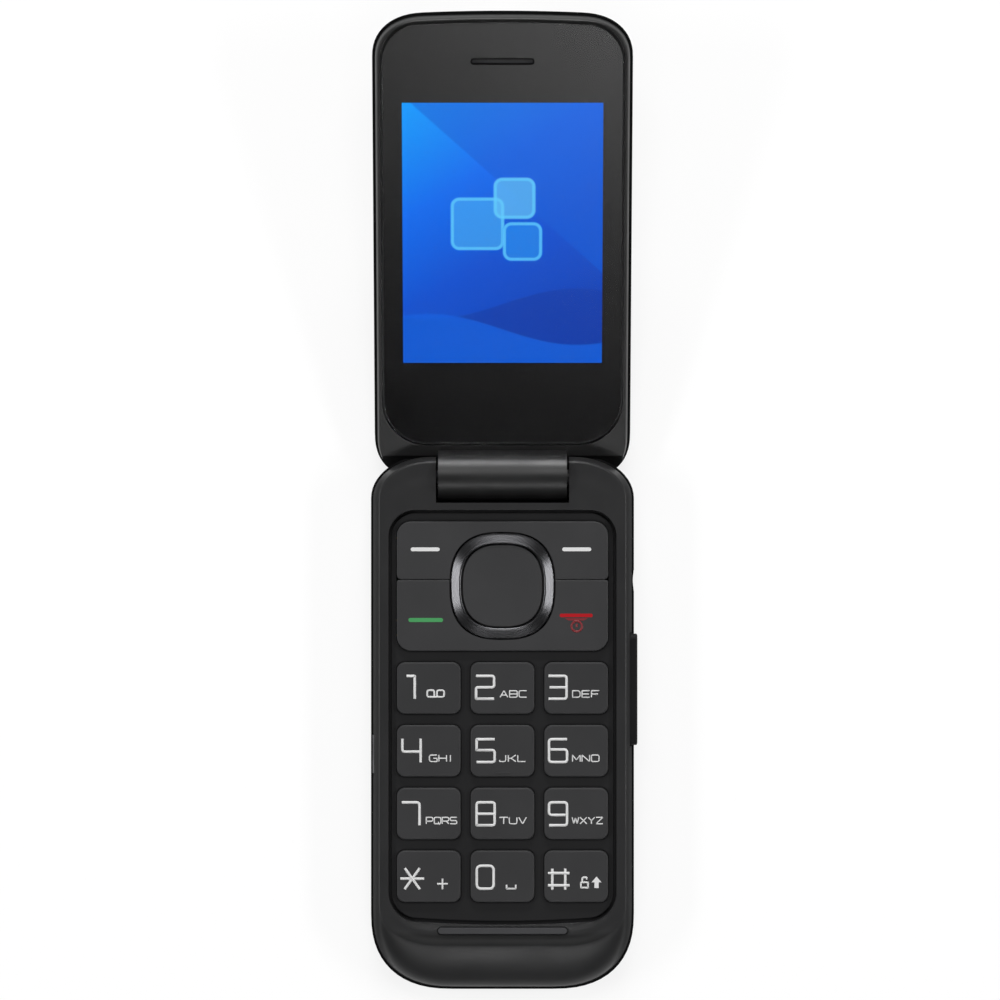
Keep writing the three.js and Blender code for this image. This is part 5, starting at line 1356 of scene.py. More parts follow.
# Legends: each sign is a list of lines in a unit box, a point's third number is its corner radius
SIGNS = {
    "1": [[(0.2, 1), (0.66, 1, 0.05), (0.66, 0)]],
    "2": [[(0, 1), (1, 1, 0.5), (1, 0.5, 0.5), (0, 0.5, 0.4), (0, 0, 0.1), (1, 0)]],
    "3": [[(0, 1), (1, 1, 0.5), (1, 0, 0.5), (0, 0)], [(0.06, 0.5), (1, 0.5)]],
    "4": [[(0, 1), (0, 0.45, 0.5), (1, 0.45)], [(0.96, 1), (0.96, 0)]],
    "5": [[(1, 1), (0, 1, 0.1), (0, 0.52, 0.1), (1, 0.52, 0.5), (1, 0, 0.5), (0, 0)]],
    "6": [[(1, 1), (0, 1, 0.6), (0, 0, 0.6), (1, 0, 0.6), (1, 0.55, 0.6), (0.05, 0.55)]],
    "7": [[(0, 1), (0.98, 1, 0.6), (0.98, 0)]],
    "8": [[(0, 0.05, 0), (0, 1, 0.5), (1, 1, 0.5), (1, 0, 0.5), (0, 0, 0.5), (0, 0.06)],
          [(0, 0.5), (1, 0.5)]],
    "9": [[(0, 0), (1, 0, 0.6), (1, 1, 0.6), (0, 1, 0.6), (0, 0.45, 0.6), (0.95, 0.45)]],
    "0": [[(0.04, 0.5), (0.04, 1, 0.9), (0.96, 1, 0.9), (0.96, 0, 0.9), (0.04, 0, 0.9), (0.04, 0.52)]],
    "*": [[(-0.1, 0.45), (1.1, 0.45)], [(0.12, 0), (0.88, 0.9)], [(0.12, 0.9), (0.88, 0)]],
    "#": [[(0.14, 0), (0.14, 0.85)], [(0.86, 0), (0.86, 0.85)], [(-0.1, 0.17), (1.1, 0.17)],
          [(-0.1, 0.67), (1.1, 0.67)]],
    "A": [[(0, 0), (0.5, 1, 0.1), (1, 0)], [(0.2, 0.33), (0.8, 0.33)]],
    "B": [[(0, 0.5), (0, 1, 0.05), (1, 1, 0.3), (1, 0, 0.3), (0, 0, 0.05), (0, 0.5)], [(0, 0.5), (1, 0.5)]],
    "C": [[(1, 1), (0, 1, 0.4), (0, 0, 0.4), (1, 0)]],
    "D": [[(0, 0.5), (0, 1, 0.03), (1, 1, 0.55), (1, 0, 0.55), (0, 0, 0.03), (0, 0.52)]],
    "E": [[(1, 1), (0, 1, 0.05), (0, 0, 0.05), (1, 0)], [(0, 0.5), (0.9, 0.5)]],
    "F": [[(1, 1), (0, 1, 0.05), (0, 0)], [(0, 0.5), (0.85, 0.5)]],
    "G": [[(1, 1), (0, 1, 0.4), (0, 0, 0.4), (1, 0, 0.1), (1, 0.5, 0.1), (0.5, 0.5)]],
    "H": [[(0, 0), (0, 1)], [(1, 0), (1, 1)], [(0, 0.5), (1, 0.5)]],
    "I": [[(0.5, 0), (0.5, 1)]],
    "J": [[(0.9, 1), (0.9, 0, 0.4), (0.1, 0, 0.3), (0.1, 0.25)]],
    "K": [[(0, 0), (0, 1)], [(0.02, 0.5), (0.35, 0.5, 0.05), (1, 1)], [(0.35, 0.5), (1, 0)]],
    "L": [[(0, 1), (0, 0, 0.05), (1, 0)]],
    "M": [[(0, 0), (0, 1, 0.05), (0.5, 0.25, 0.05), (1, 1, 0.05), (1, 0)]],
    "N": [[(0, 0), (0, 1, 0.05), (1, 0, 0.05), (1, 1)]],
    "O": [[(0, 0.5), (0, 1, 0.4), (1, 1, 0.4), (1, 0, 0.4), (0, 0, 0.4), (0, 0.52)]],
    "P": [[(0, 0), (0, 1, 0.05), (1, 1, 0.4), (1, 0.4, 0.4), (0, 0.4)]],
    "Q": [[(0, 0.5), (0, 1, 0.4), (1, 1, 0.4), (1, 0, 0.4), (0, 0, 0.4), (0, 0.52)],
          [(0.6, 0.3), (0.8, -0.15)]],
    "R": [[(0, 0), (0, 1, 0.05), (1, 1, 0.4), (1, 0.42, 0.4), (0, 0.42)], [(0.6, 0.42), (1, 0)]],
    "S": [[(1, 1), (0, 1, 0.35), (0, 0.5, 0.35), (1, 0.5, 0.35), (1, 0, 0.35), (0, 0)]],
    "T": [[(-0.05, 1), (1.05, 1)], [(0.5, 1), (0.5, 0)]],
    "U": [[(0, 1), (0, 0, 0.4), (1, 0, 0.4), (1, 1)]],
    "V": [[(0, 1), (0.5, 0, 0.08), (1, 1)]],
    "W": [[(0, 1), (0.25, 0, 0.05), (0.5, 0.9, 0.05), (0.75, 0, 0.05), (1, 1)]],
    "X": [[(0, 0), (1, 1)], [(0, 1), (1, 0)]],
    "Y": [[(0, 1), (0.5, 0.5, 0.05), (1, 1)], [(0.5, 0.5), (0.5, 0)]],
    "Z": [[(0, 1), (1, 1, 0.05), (0, 0, 0.05), (1, 0)]],
    "+": [[(0, 0.5), (1, 0.5)], [(0.5, 0), (0.5, 1)]],
    "space": [[(0, 0.9), (0, 0, 0.05), (1, 0, 0.05), (1, 0.9)]],
    "tape": [[(0.22, 0.05), (0, 0.05, 0.4), (0, 0.95, 0.4), (0.42, 0.95, 0.4), (0.42, 0.05, 0.4),
              (0.2, 0.05)],
             [(0.78, 0.05), (0.58, 0.05, 0.4), (0.58, 0.95, 0.4), (1, 0.95, 0.4), (1, 0.05, 0.4),
              (0.76, 0.05)],
             [(0.2, 0.05), (0.8, 0.05)]],
    "lock": [[(0.5, 0), (0.1, 0, 0.1), (0.1, 0.5, 0.1), (0.9, 0.5, 0.1), (0.9, 0, 0.1), (0.48, 0)],
             [(0.25, 0.5), (0.25, 1, 0.4), (0.75, 1, 0.4), (0.75, 0.78)]],
}
# Letters of each key and how far they stand to the right of their usual place
KEY_LETTERS = {
    "key_2": ("ABC", 0.25), "key_3": ("DEF", 0), "key_4": ("GHI", 0.85), "key_5": ("JKL", 0),
    "key_6": ("MNO", 0), "key_7": ("PQRS", 0.4), "key_8": ("TUV", 0.2), "key_9": ("WXYZ", 0.1),
}
# Lower left corner, width and height where a digit or sign stands apart from the rest
DIGIT_PLACES = {
    "1": (-5.1, -2.1, 3.55, 4.5), "2": (-5.2, -2.1, 3.55, 4.5), "3": (-5.45, -2.1, 3.55, 4.5),
    "4": (-5.2, -2.25, 3.75, 4.65), "5": (-5.1, -2.2, 3.55, 4.5), "6": (-5.35, -2.2, 3.55, 4.5),
    "7": (-5.3, -2.28, 3.55, 4.5), "8": (-5.1, -2.28, 3.55, 4.5), "9": (-5.35, -2.28, 3.55, 4.5),
    "*": (-5.2, -2.5, 3.9, 4.6), "0": (-5.2, -2.4, 3.6, 4.5), "#": (-5.2, -2.57, 3.54, 4.84),
}
# Pitch, width and start of the letters by how many a key has, then how each row is lifted
LETTER_SPACING = {3: (1.86, 1.5, -0.72), 4: (1.57, 1.3, -0.9)}
ROW_LIFT = (0.2, -0.1, 0.0, 0.0)
NARROW_SHIFT = {"I": -0.35}
SMALL_SIGNS = {
    "key_1": (("tape", -0.3, -1.8, 3.3, 1.45),), "key_star": (("+", 1.65, -2.5, 2.1, 2.1),),
    "key_0": (("space", 0.8, -2.4, 1.8, 0.85),), "key_hash": (("lock", 0.75, -2.2, 1.75, 2.05),),
}
ARROW = [(-0.42, -1.12), (0.42, -1.12), (0.42, 0.0), (0.98, 0.0), (0, 1.14), (-0.98, 0.0), (-0.42, 0.0)]
ARROW_PLACE = (4.0, -1.15)
LETTER_DROP = 2.0
LETTER_HEIGHT = 1.28
SIGN_WEIGHT = 1.55
SOFT_Y, CALL_Y, END_Y = RING_Y + 7.2, RING_Y - 6.7, RING_Y - 5.8
END_X = 14.5
# Name, middle, length, width, look and body of each mark on the function keys
MARKS = (
    ("soft_mark_left", -15.2, SOFT_Y, 5.7, 0.75, "legend", "soft_keys_body"),
    ("soft_mark_right", 14.6, SOFT_Y, 5.7, 0.75, "legend", "soft_keys_body"),
    ("call_mark", -15.1, CALL_Y, 6.8, 0.8, "green", "call_end_keys_body"),
    ("end_mark", END_X, END_Y, 6.5, 0.7, "red", "call_end_keys_body"),
)
END_STRIP = [(-2.3, -0.55), (-1.5, -1.0), (1.5, -1.0), (2.3, -0.55)]
END_SIGN = (END_X + 0.1, END_Y - 2.15)
END_SIGN_RADIUS = 1.02
END_SIGN_BAR = (0.15, 0.5)
END_SIGN_STROKE = 0.42
# How far ink stands out, and how far one line lies above the last
INK = 0.025
INK_LIFT = 0.0015


def rounded_line(points):
    """Swaps each corner for an arc of its own radius."""
    made = [Vector(points[0][:2])]
    for before, corner, after in zip(points, points[1:], points[2:]):
        here = Vector(corner[:2])
        radius = corner[2] if len(corner) > 2 else 0.0
        to_before = Vector(before[:2]) - here
        to_after = Vector(after[:2]) - here
        turn = to_before.angle(to_after)
        reach = min(radius / math.tan(turn / 2), to_before.length * 0.48, to_after.length * 0.48)
        if reach < 1e-4:
            made.append(here)
            continue
        start = here + to_before.normalized() * reach
        end = here + to_after.normalized() * reach
        made += curve_between(start, here, end, 5)
    made.append(Vector(points[-1][:2]))
    return made


def sign_lines(sign, x, y, width, height):
    """A sign's lines in millimetres, with its lower left corner at x and y."""
    return [rounded_line([(x + p[0] * width, y + p[1] * height, *p[2:]) for p in line]) for line in SIGNS[sign]]


def stroke_tree():
    """Sweeps flat-ended strokes along a mesh of edges."""
    tree, given = group_tree("printed strokes", {
        "Lines": "Geometry", "Stroke width": "Float", "Ink height": "Float", "Finish": "Material",
    })
    lines = add_node(tree, "GeometryNodeMeshToCurve", {"Mesh": given["Lines"]})
    upright = add_node(tree, "GeometryNodeSetCurveNormal", {"Curve": lines.outputs[0]}, mode="Z_UP")
    section = add_node(tree, "GeometryNodeCurvePrimitiveQuadrilateral", {
        "Width": given["Stroke width"], "Height": given["Ink height"],
    })
    swept = add_node(tree, "GeometryNodeCurveToMesh", {
        "Curve": upright.outputs[0], "Profile Curve": section.outputs[0], "Fill Caps": True,
    })
    return close_tree(tree, swept.outputs[0], given["Finish"])


def print_lines(name, tree, lines, width, look, body):
    """Prints lines on a key's face, each a hair above the one before."""
    vertices, edges = [], []
    for index, line in enumerate(lines):
        first = len(vertices)
        height = (KEY_TOP + index * INK_LIFT) * MM
        vertices += [(point.x * MM, point.y * MM, height) for point in line]
        edges += [(first + i, first + i + 1) for i in range(len(line) - 1)]
    mesh = bpy.data.meshes.new(name)
    mesh.from_pydata(vertices, edges, [])
    piece = run_tree(name, tree, {
        "Stroke width": width * MM, "Ink height": 2 * INK * MM, "Finish": finish(look),
    }, mesh)
    clean(piece.data)
    finish_piece(piece, look, body, "key_plastic")


def print_plan(name, plan, look, body):
    """Prints a filled outline on a key's face."""
    piece = soften(prism(name, plan, KEY_TOP - INK, KEY_TOP + INK))
    finish_piece(piece, look, body, "key_plastic")


class FLIPPHONE_OT_legends(bpy.types.Operator):
    """Print the digits, letters and marks on the keys"""
    bl_idname = "flip_phone.legends"
    bl_label = "Legends"

    def execute(self, context):
        settings = context.scene.flip_phone_keypad
        stroke, small = settings.stroke / MM, settings.small_stroke / MM
        tree = stroke_tree()
        for index, (key, digit) in enumerate(zip(KEY_NAMES, "123456789*0#")):
            body = key + "_body"
            x, y = key_place(index)
            left, low, wide, high = DIGIT_PLACES[digit]
            print_lines(key + "_digit", tree, sign_lines(digit, x + left, y + low, wide, high), stroke,
                        "legend", body)
            little = []
            letters, shift = KEY_LETTERS.get(key, ("", 0))
            pitch, width, start = LETTER_SPACING.get(len(letters), (0, 0, 0))
            lift = ROW_LIFT[index // 3]
            for place, letter in enumerate(letters):
                across = x + start + shift + place * pitch + NARROW_SHIFT.get(letter, 0)
                little += sign_lines(letter, across, y - LETTER_DROP + lift, width, LETTER_HEIGHT)
            for sign, left, low, wide, high in SMALL_SIGNS.get(key, ()):
                little += sign_lines(sign, x + left, y + low, wide, high)
            weight = small * SIGN_WEIGHT if key in SMALL_SIGNS else small
            print_lines(key + "_letters", tree, little, weight, "legend", body)
            if key == "key_hash":
                arrow = moved(ARROW, x + ARROW_PLACE[0], y + ARROW_PLACE[1])
                print_plan("key_hash_arrow", arrow, "legend", body)

        for name, x, y, length, width, look, body in MARKS:
            plan = oblong(length / 2, -width / 2, width / 2, width / 2 - 0.01)
            print_plan(name, moved(plan, x, y), look, body)
        print_plan("end_mark_strip", moved(END_STRIP, END_X, END_Y), "dim_red", "call_end_keys_body")
        centre = Vector(END_SIGN)
        sign = []
        for part in range(3):
            turn = [math.radians(150 + part * 120 + i * 10) for i in range(13)]
            sign.append([centre + END_SIGN_RADIUS * Vector((math.cos(a), math.sin(a))) for a in turn])
        low, high = END_SIGN_BAR
        sign.append([centre - Vector((0, low)), centre + Vector((0, high))])
        print_lines("end_sign", tree, sign, END_SIGN_STROKE, "dim_red", "call_end_keys_body")
        return {"FINISHED"}


# Lid
def ear_reliefs():
    """The room that the lid leaves round the base's ears."""
    reliefs = []
    for side in (-1, 1):
        ends = sorted((side * (BARREL_HALF + BARREL_GAP / 2), side * (LID_HALF + OVERRUN)))
        reliefs.append(side_prism("relief", circle(EAR_RADIUS + LID_EAR_GAP, sides=96), *ends, LID_PLACE))
    return reliefs


def tail_profile(lift):
    """The lid's outline from the side, curved up from the back to the hinge."""
    start_z = (LID_FLOOR_CLEARANCE - HINGE_Z + LID_TAIL * math.sin(REST_TILT)) / math.cos(REST_TILT)
    start = Vector((-LID_TAIL - OVERRUN, start_z + OVERRUN * math.tan(REST_TILT)))
    middle = Vector((-LID_TAIL + (start_z - LID_BACK) / math.tan(REST_TILT), LID_BACK))
    end = Vector((middle.x * 2, LID_BACK))
    points = [(point.x, point.y + lift) for point in curve_between(start, middle, end, 60)]
    points += [(LID_LENGTH + OVERRUN, LID_BACK + lift), (LID_LENGTH + OVERRUN, OVERRUN),
               (-LID_TAIL - OVERRUN, OVERRUN)]
    return side_prism("tail", points, -LID_HALF - OVERRUN, LID_HALF + OVERRUN, LID_PLACE)


def lid_hollow(low, high):
    plan = outline(LID_HALF - LID_WALL * 2, LID_LENGTH - LID_WALL * 2, HOLLOW_START, *HOLLOW_CORNERS,
                   top_power=LID_FAR_POWER, top_bow=LID_BOW)
    return prism("hollow", plan, low, high, LID_PLACE)


def lid_inner_frame(edge):
    rings = []
    for across, up in quarter_turn(12):
        drawn = blend(LID_BAND_STEP, LID_RIM, 1 - across)
        rings.append((LID_PARTING + (LID_FACE - LID_PARTING) * up, lid_plan(drawn)))
    lid_frame = loft("lid_inner_shell", rings, LID_PLACE)
    cut(lid_frame, *ear_reliefs())
    barrel = side_prism("barrel", circle(BARREL_RADIUS, sides=96), -BARREL_HALF, BARREL_HALF, LID_PLACE)
    shoulder = block("barrel shoulder", (-BARREL_HALF, BARREL_HALF), (0, BARREL_RADIUS),
                     (LID_FACE - SHOULDER_DEPTH, 0), LID_PLACE)
    join(lid_frame, join(barrel, shoulder))
    seat, mouth = (lens_plan(grow, LENS_FAR_GAP) for grow in (LENS_GAP, LENS_GAP + LENS_GROOVE))
    recess = loft("recess", [
        (PLATE_TOP, seat), (LENS_BOTTOM, seat), (LID_FACE, mouth), (LID_FACE + OVERRUN, mouth),
    ], LID_PLACE)
    hollow = lid_hollow(LID_PARTING - OVERRUN, PLATE_BOTTOM)
    upwards = (PLATE_BOTTOM - OVERRUN, 0)
    window = block("display window", (-LCD_HALF - SEAT_GAP, LCD_HALF + SEAT_GAP),
                   (LCD_START - SEAT_GAP, LCD_END + SEAT_GAP), upwards, LID_PLACE)
    ear = block("ear hole", (-EAR_SLOT_LENGTH / 2, EAR_SLOT_LENGTH / 2),
                (EAR_SLOT_Y - EAR_SLOT_WIDTH / 2, EAR_SLOT_Y + EAR_SLOT_WIDTH / 2), upwards, LID_PLACE)
    module_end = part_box("hinge_module")[1].x / MM + SEAT_GAP
    module_bore = side_prism("module bore", circle(MODULE_BORE), -BARREL_HALF - OVERRUN, module_end,
                             LID_PLACE)
    sleeve_bore = side_prism("sleeve bore", circle(PIN_BORE), SLEEVE_BORE_START, BARREL_HALF + OVERRUN,
                             LID_PLACE)
    cut(lid_frame, recess, hollow, window, ear, module_bore, sleeve_bore)
    return soften(lid_frame, edge * LENS_EDGE_SHARE)


def lid_outer_cover(edge):
    top = LID_PARTING - PARTING_GAP
    rings = [(top + (LID_BACK - top) * up, lid_plan(LID_BACK_INSET * (1 - across)))
             for across, up in reversed(quarter_turn(14))]
    cover = loft("lid_outer_shell", rings, LID_PLACE)
    keep_inside(cover, tail_profile(0.0))
    hollow = lid_hollow(LID_BACK + LID_WALL, LID_PARTING + OVERRUN)
    keep_inside(hollow, tail_profile(LID_WALL))
    seat = prism("camera seat", camera_circle(CAMERA_RADIUS + SEAT_GAP, 64), LID_BACK - OVERRUN,
                 LID_BACK + CAMERA_GLASS + SEAT_GAP, LID_PLACE)
    hole = prism("camera hole", camera_circle(CAMERA_HOLE), LID_BACK, LID_BACK + LID_WALL + OVERRUN,
                 LID_PLACE)
    cut(cover, hollow, *ear_reliefs(), seat, hole)
    return soften(cover, edge)


class FLIPPHONE_OT_lid(bpy.types.Operator):
    """Build the lid's frame with its barrel, and its outer cover"""
    bl_idname = "flip_phone.lid"
    bl_label = "Lid housings"

    def execute(self, context):
        edge = context.scene.flip_phone_shell.edge_round / MM
        finish_piece(lid_inner_frame(edge), "frame", "lid", "housing_plastic", "lid_inner_frame")
        finish_piece(lid_outer_cover(edge), "rear", "lid", "housing_plastic", "lid_outer_cover")
        return {"FINISHED"}


def ear_slot(low, high, inset=0.0):
    plan = pill(EAR_SLOT_LENGTH / 2, EAR_SLOT_WIDTH / 2, -inset)
    return prism("ear slot", moved(plan, 0, EAR_SLOT_Y), low, high, LID_PLACE)


class FLIPPHONE_OT_display(bpy.types.Operator):
    """Build the clear lens, the black print under it and the lit screen"""
    bl_idname = "flip_phone.display"
    bl_label = "Display"

    def execute(self, context):
        lens = prism("display_lens_pane", lens_plan(0), LENS_BOTTOM, LENS_TOP, LID_PLACE)
        cut(lens, ear_slot(LENS_BOTTOM - OVERRUN, LENS_TOP + OVERRUN))
        finish_piece(soften(lens, 0.04), "lens", "lid", "lens_acrylic", "display_lens")
        low = LENS_BOTTOM - PRINT_GAP - PRINT_THICKNESS
        mask = prism("lens_print_mask", lens_plan(-PRINT_INSET), low, low + PRINT_THICKNESS, LID_PLACE)
        window = block("picture window", (-DISPLAY_HALF, DISPLAY_HALF), (DISPLAY_START, DISPLAY_END),
                       (low - OVERRUN, low + OVERRUN), LID_PLACE)
        cut(mask, ear_slot(low - OVERRUN, low + OVERRUN), window)
        finish_piece(soften(mask), "print", "lid", "lens_acrylic")
        # A matt black print lines the ear slot's wall in the clear lens, and also stands as painted shade for
        # the slot's dark edges
        wall = ear_slot(low, LENS_TOP - EAR_SHADE_PRINT_DEPTH, PRINT_GAP)
        wall.name = "ear_slot_print"
        cut(wall, ear_slot(low - OVERRUN, LENS_TOP + OVERRUN, EAR_SLOT_WALL))
        finish_piece(soften(wall), "matt_print", "lid", "lens_acrylic")
        coat(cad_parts["lcd_module"], finish("screen"))
        return {"FINISHED"}


def volume_key():
    def plan_at(inset):
        half = VOLUME_HEIGHT / 2 - inset
        return oblong(half, -VOLUME_LENGTH / 2 + inset, VOLUME_LENGTH / 2 - inset, half)

    inner = HALF_WIDTH + VOLUME_PROUD - VOLUME_DEPTH - VOLUME_FOOT
    turned = Matrix.Translation((0, VOLUME_Y * MM, VOLUME_Z * MM)) @ Matrix.Rotation(math.pi / 2, 4, "Y")
    return rounded_cap("volume_key_cap", plan_at, inner, HALF_WIDTH + VOLUME_PROUD, VOLUME_ROUND, turned)


def jack_rod(name, radius, x0, x1):
    return side_prism(name, circle(radius, JACK_Y, JACK_Z), x0, x1)


def camera_disc(name, radius, low, high, sides=64):
    return prism(name, camera_circle(radius, sides), low, high, LID_PLACE)


class FLIPPHONE_OT_side(bpy.types.Operator):
    """Build the volume key, the headset socket and the camera's window and lens"""
    bl_idname = "flip_phone.side"
    bl_label = "Side key, socket and camera"

    def execute(self, context):
        key = soften(volume_key(), limit=30)
        finish_piece(key, "side_key", "volume_key_body", "key_plastic", "volume_key")

        low, high = (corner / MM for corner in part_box("audio_jack"))
        body = block("headset_socket", (low.x, HALF_WIDTH - WALL - JACK_NOSE), (low.y, high.y),
                     (low.z, high.z))
        nose = jack_rod("nose", JACK_HOLE - SEAT_GAP, low.x + OVERRUN, HALF_WIDTH - WALL)
        bore = jack_rod("bore", JACK_BORE, low.x + JACK_END, HALF_WIDTH + OVERRUN)
        finish_piece(soften(cut(join(body, nose), bore), 0.08), "black_rubber", "base", "black_rubber",
                     "audio_jack")
        for place in CONTACT_PLACES:
            start, end = low.x + place, low.x + place + CONTACT_WIDTH
            spring = cut(jack_rod("headset_contact", CONTACT_OUTER, start, end),
                         jack_rod("tube bore", CONTACT_INNER, start - OVERRUN, end + OVERRUN))
            finish_piece(soften(spring, 0.05), "steel", "base", "steel")

        low = LID_BACK + CAMERA_SUNK
        glass = camera_disc("camera_window_pane", CAMERA_RADIUS, low, low + CAMERA_GLASS)
        finish_piece(soften(glass, 0.12), "lens", "lid", "lens_acrylic", "camera_window")
        mask = camera_disc("camera_window_mask", CAMERA_RADIUS,
                           *(low + CAMERA_GLASS + height for height in CAMERA_PRINT))
        cut(mask, camera_disc("sight", CAMERA_SIGHT, LID_BACK - OVERRUN, 0, 48))
        finish_piece(soften(mask), "print", "lid", "lens_acrylic")
        lens_base = LID_BACK + LID_WALL + CAMERA_LENS_GAP
        ring = swept_ring("camera_lens_ring", [(radius, lens_base - height) for radius, height in CAMERA_STEPS],
                          camera_circle, LID_PLACE)
        finish_piece(soften(ring, 0.03, 2, 25), "camera", "lid", "black_rubber")
        dome = []
        for angle in (86, 75, 60, 45, 30, 15, 0):
            turn = math.radians(angle)
            dome.append((lens_base - EYE_HEIGHT * math.sin(turn), camera_circle(EYE_RADIUS * math.cos(turn))))
        finish_piece(soften(loft("camera_eye", dome, LID_PLACE)), "camera_glass", "lid", "lens_acrylic")
        return {"FINISHED"}


def threaded_screw(node, tree, length, place, turn, body):
    blank = screw_blank(length)
    piece = run_tree(node + "_threaded", tree, {
        "Fastener": blank, "Place": place, "Turn": turn, "Finish": finish("steel"),
    })
    bpy.data.objects.remove(blank)
    finish_piece(piece, "steel", body, "steel", node)


class FLIPPHONE_OT_screws(bpy.types.Operator):
    """Build the four screws of the base and the two of the lid"""
    bl_idname = "flip_phone.screws"
    bl_label = "Screws"

    def execute(self, context):
        tree = fastener_tree()
        for x, y, head, node in base_screws():
            threaded_screw(node, tree, SCREW_TIP - head, (x * MM, y * MM, head * MM),
                           (0, 0, 0.4 + x * 0.02), "base")
        head = PLATE_TOP - LID_SCREW_SUNK
        tip = LID_BACK + LID_WALL / 2 + SEAT_GAP
        for side, hand in ((-1, "left"), (1, "right")):
            place = LID_PLACE @ Vector((side * LID_SCREW[0] * MM, LID_SCREW[1] * MM, head * MM))
            threaded_screw("lid_screw_" + hand, tree, head - tip, place, (math.pi + REST_TILT, 0, 0), "lid")
        return {"FINISHED"}


class FLIPPHONE_OT_inner(bpy.types.Operator):
    """Give the carried-over pieces their finishes"""
    bl_idname = "flip_phone.inner"
    bl_label = "Inner pieces"

    def execute(self, context):
        for look, nodes in CARRIED_LOOKS.items():
            for node in nodes:
                coat(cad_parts[node], finish(look))
        return {"FINISHED"}


# Stage
def soft_lamp(name, place, target, width, height, power):
    data = bpy.data.lights.new(name, "AREA")
    data.shape = "RECTANGLE"
    data.size = width
    data.size_y = height
    data.energy = power
    lamp = bpy.data.objects.new(name, data)
    lamp.location = place
    lamp.rotation_euler = (Vector(target) - lamp.location).to_track_quat("-Z", "Y").to_euler()
    bpy.context.scene.collection.objects.link(lamp)


def white_floor():
    """A wide sheet of paper, lit up a little where the camera or the lens sees it."""
    half = 3.0
    mesh = bpy.data.meshes.new("floor")
    mesh.from_pydata([(-half, -half, 0), (half, -half, 0), (half, half, 0), (-half, half, 0)], [],
                     [(0, 1, 2, 3)])
    floor = bpy.data.objects.new("floor", mesh)
    bpy.context.scene.collection.objects.link(floor)
    material = bpy.data.materials.new("floor paper")
    material.use_nodes = True
    dress(material, {"Base Color": (0.95, 0.95, 0.95, 1), "Roughness": 0.9, "Specular IOR Level": 0.1})
    tree = material.node_tree
    rays = add_node(tree, "ShaderNodeLightPath").outputs
    seen = Field(tree, rays["Is Camera Ray"])
    for kind in ("Is Glossy Ray", "Is Transmission Ray"):
        seen = seen.run("MAXIMUM", rays[kind])
    white = add_node(tree, "ShaderNodeEmission", {"Color": (1, 1, 1, 1), "Strength": 1.0})
    both = add_node(tree, "ShaderNodeMixShader", {
        0: seen * 0.8, 1: tree.nodes["Principled BSDF"].outputs[0], 2: white.outputs[0],
    })
    put(tree, tree.nodes["Material Output"].inputs["Surface"], both.outputs[0])
    coat(floor, material)


def studio_sky(settings):
    """Soft light from all round, with a brighter patch overhead that the lens mirrors."""
    world = bpy.data.worlds.new("studio")
    world.use_nodes = True
    sky = world.node_tree
    x, y, z = split(sky, add_node(sky, "ShaderNodeTexCoord").outputs["Generated"])
    height = z.run("MAXIMUM", 0.01)
    lean = y / height * -1.0
    across = x / height
    stops = ((0.38, 0.5), (0.42, 0.5), (0.44, 0.42), (0.5, 0.15), (0.55, 0.03), (0.75, 0.02))
    fade = colour_ramp(sky, lean, [(place, (value, value, value, 1)) for place, value in stops])
    patch = lean.ramp(0.38, 0.42) * lean.ramp(0.75, 0.95, 1.0, 0.0) * abs(across).ramp(0.25, 0.5, 1.0, 0.0)
    slope = across.run("MAXIMUM", -0.06).run("MINIMUM", 0.06) * 12.0 + 1.0
    strength = add_node(sky, "ShaderNodeMix", {
        0: patch, 2: settings.sky, 3: Field(sky, fade) * slope * settings.overhead,
    }, data_type="FLOAT")
    background = sky.nodes["Background"].inputs
    put(sky, background["Strength"], strength.outputs[0])
    put(sky, background["Color"], (1, 1, 1, 1))
    return world


def photo_camera(height):
    data = bpy.data.cameras.new("camera")
    data.sensor_width = 36.0
    data.lens = data.sensor_width * 0.9 / 0.1966
    data.clip_start = 0.01
    data.clip_end = 20
    camera = bpy.data.objects.new("camera", data)
    camera.location = (-0.00049, 0.04385, height)
    bpy.context.scene.collection.objects.link(camera)
    return camera


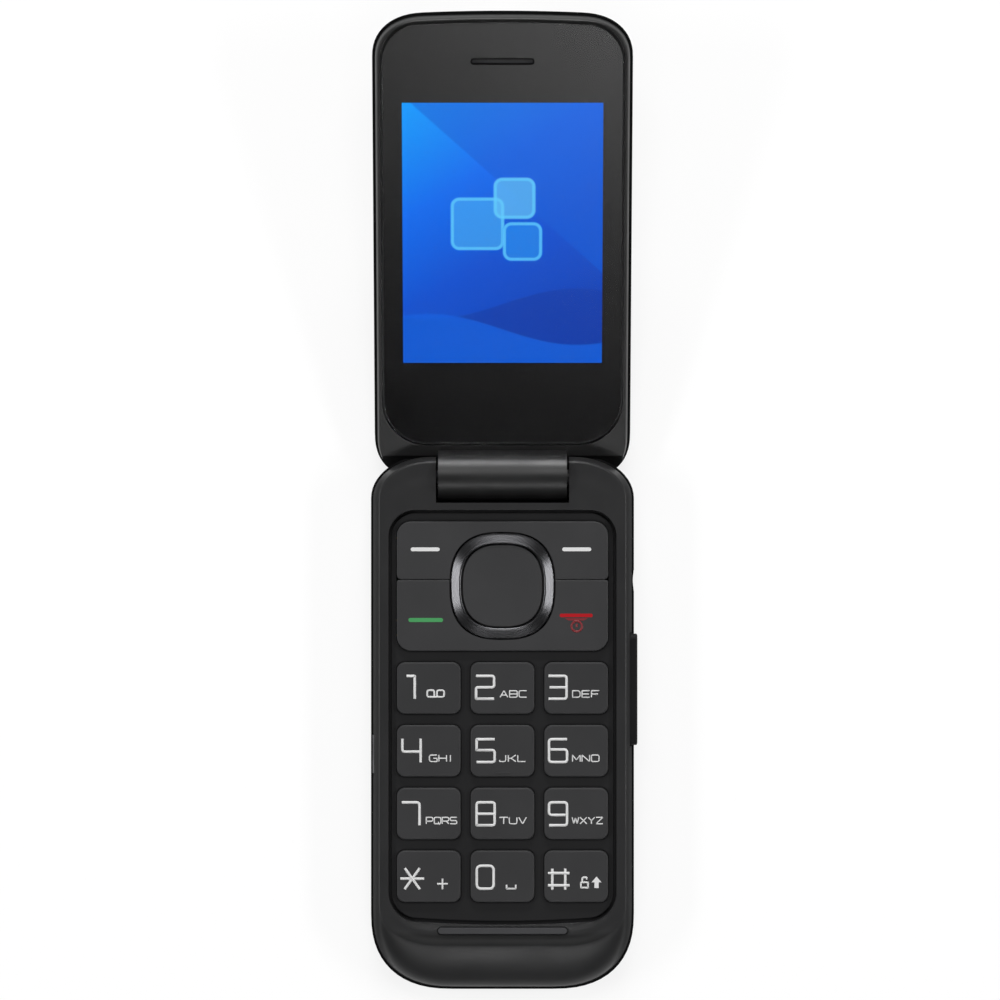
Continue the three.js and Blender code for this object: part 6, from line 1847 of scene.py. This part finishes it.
class FLIPPHONE_OT_stage(bpy.types.Operator):
    """Set the floor, the lamps, the sky and the camera"""
    bl_idname = "flip_phone.stage"
    bl_label = "Stage"

    def execute(self, context):
        scene = context.scene
        settings = scene.flip_phone_stage
        white_floor()
        target = (0, 0.04, 0.01)
        soft_lamp("main lamp", (0, 0.6, 0.93), target, 0.65, 0.4, settings.main_power)
        soft_lamp("low strip", (0, 1.0, 0.38), target, 0.5, 0.1, settings.low_power)
        soft_lamp("foot lamp", (0, -0.45, 0.6), target, 0.45, 0.07, settings.foot_power)
        for side in (-1, 1):
            soft_lamp("side strip", (side * 0.7, 0.03, 0.55), target, 0.45, 0.1, settings.side_power)
        scene.world = studio_sky(settings)
        scene.camera = photo_camera(settings.camera_height)
        scene.view_settings.view_transform = "Standard"
        return {"FINISHED"}


class FLIPPHONE_PT_panel(bpy.types.Panel):
    """Lists the steps that build the phone"""
    bl_idname = "FLIPPHONE_PT_panel"
    bl_label = "Flip phone"
    bl_space_type = "VIEW_3D"
    bl_region_type = "UI"
    bl_category = "Flip phone"

    def draw(self, context):
        scene = context.scene
        for settings in (scene.flip_phone_shell, scene.flip_phone_keypad, scene.flip_phone_display,
                         scene.flip_phone_stage):
            box = self.layout.box()
            for name in settings.bl_rna.properties.keys():
                if name not in ("rna_type", "name"):
                    box.prop(settings, name)
        for operator in OPERATORS:
            self.layout.operator(operator.bl_idname)


SETTINGS = {
    "flip_phone_shell": FlipPhoneShell,
    "flip_phone_keypad": FlipPhoneKeypad,
    "flip_phone_display": FlipPhoneDisplay,
    "flip_phone_stage": FlipPhoneStage,
}
OPERATORS = [
    FLIPPHONE_OT_stage, FLIPPHONE_OT_base, FLIPPHONE_OT_keypad, FLIPPHONE_OT_ring, FLIPPHONE_OT_legends,
    FLIPPHONE_OT_lid, FLIPPHONE_OT_display, FLIPPHONE_OT_side, FLIPPHONE_OT_screws, FLIPPHONE_OT_inner,
]


def register():
    for name, group in SETTINGS.items():
        bpy.utils.register_class(group)
        setattr(bpy.types.Scene, name, bpy.props.PointerProperty(type=group))
    for operator in OPERATORS:
        bpy.utils.register_class(operator)
    bpy.utils.register_class(FLIPPHONE_PT_panel)


def unregister():
    bpy.utils.unregister_class(FLIPPHONE_PT_panel)
    for operator in reversed(OPERATORS):
        bpy.utils.unregister_class(operator)
    for name, group in SETTINGS.items():
        delattr(bpy.types.Scene, name)
        bpy.utils.unregister_class(group)


def main():
    register()
    for operator in OPERATORS:
        group, name = operator.bl_idname.split(".")
        getattr(getattr(bpy.ops, group), name)()


if __name__ == "__main__":
    main()
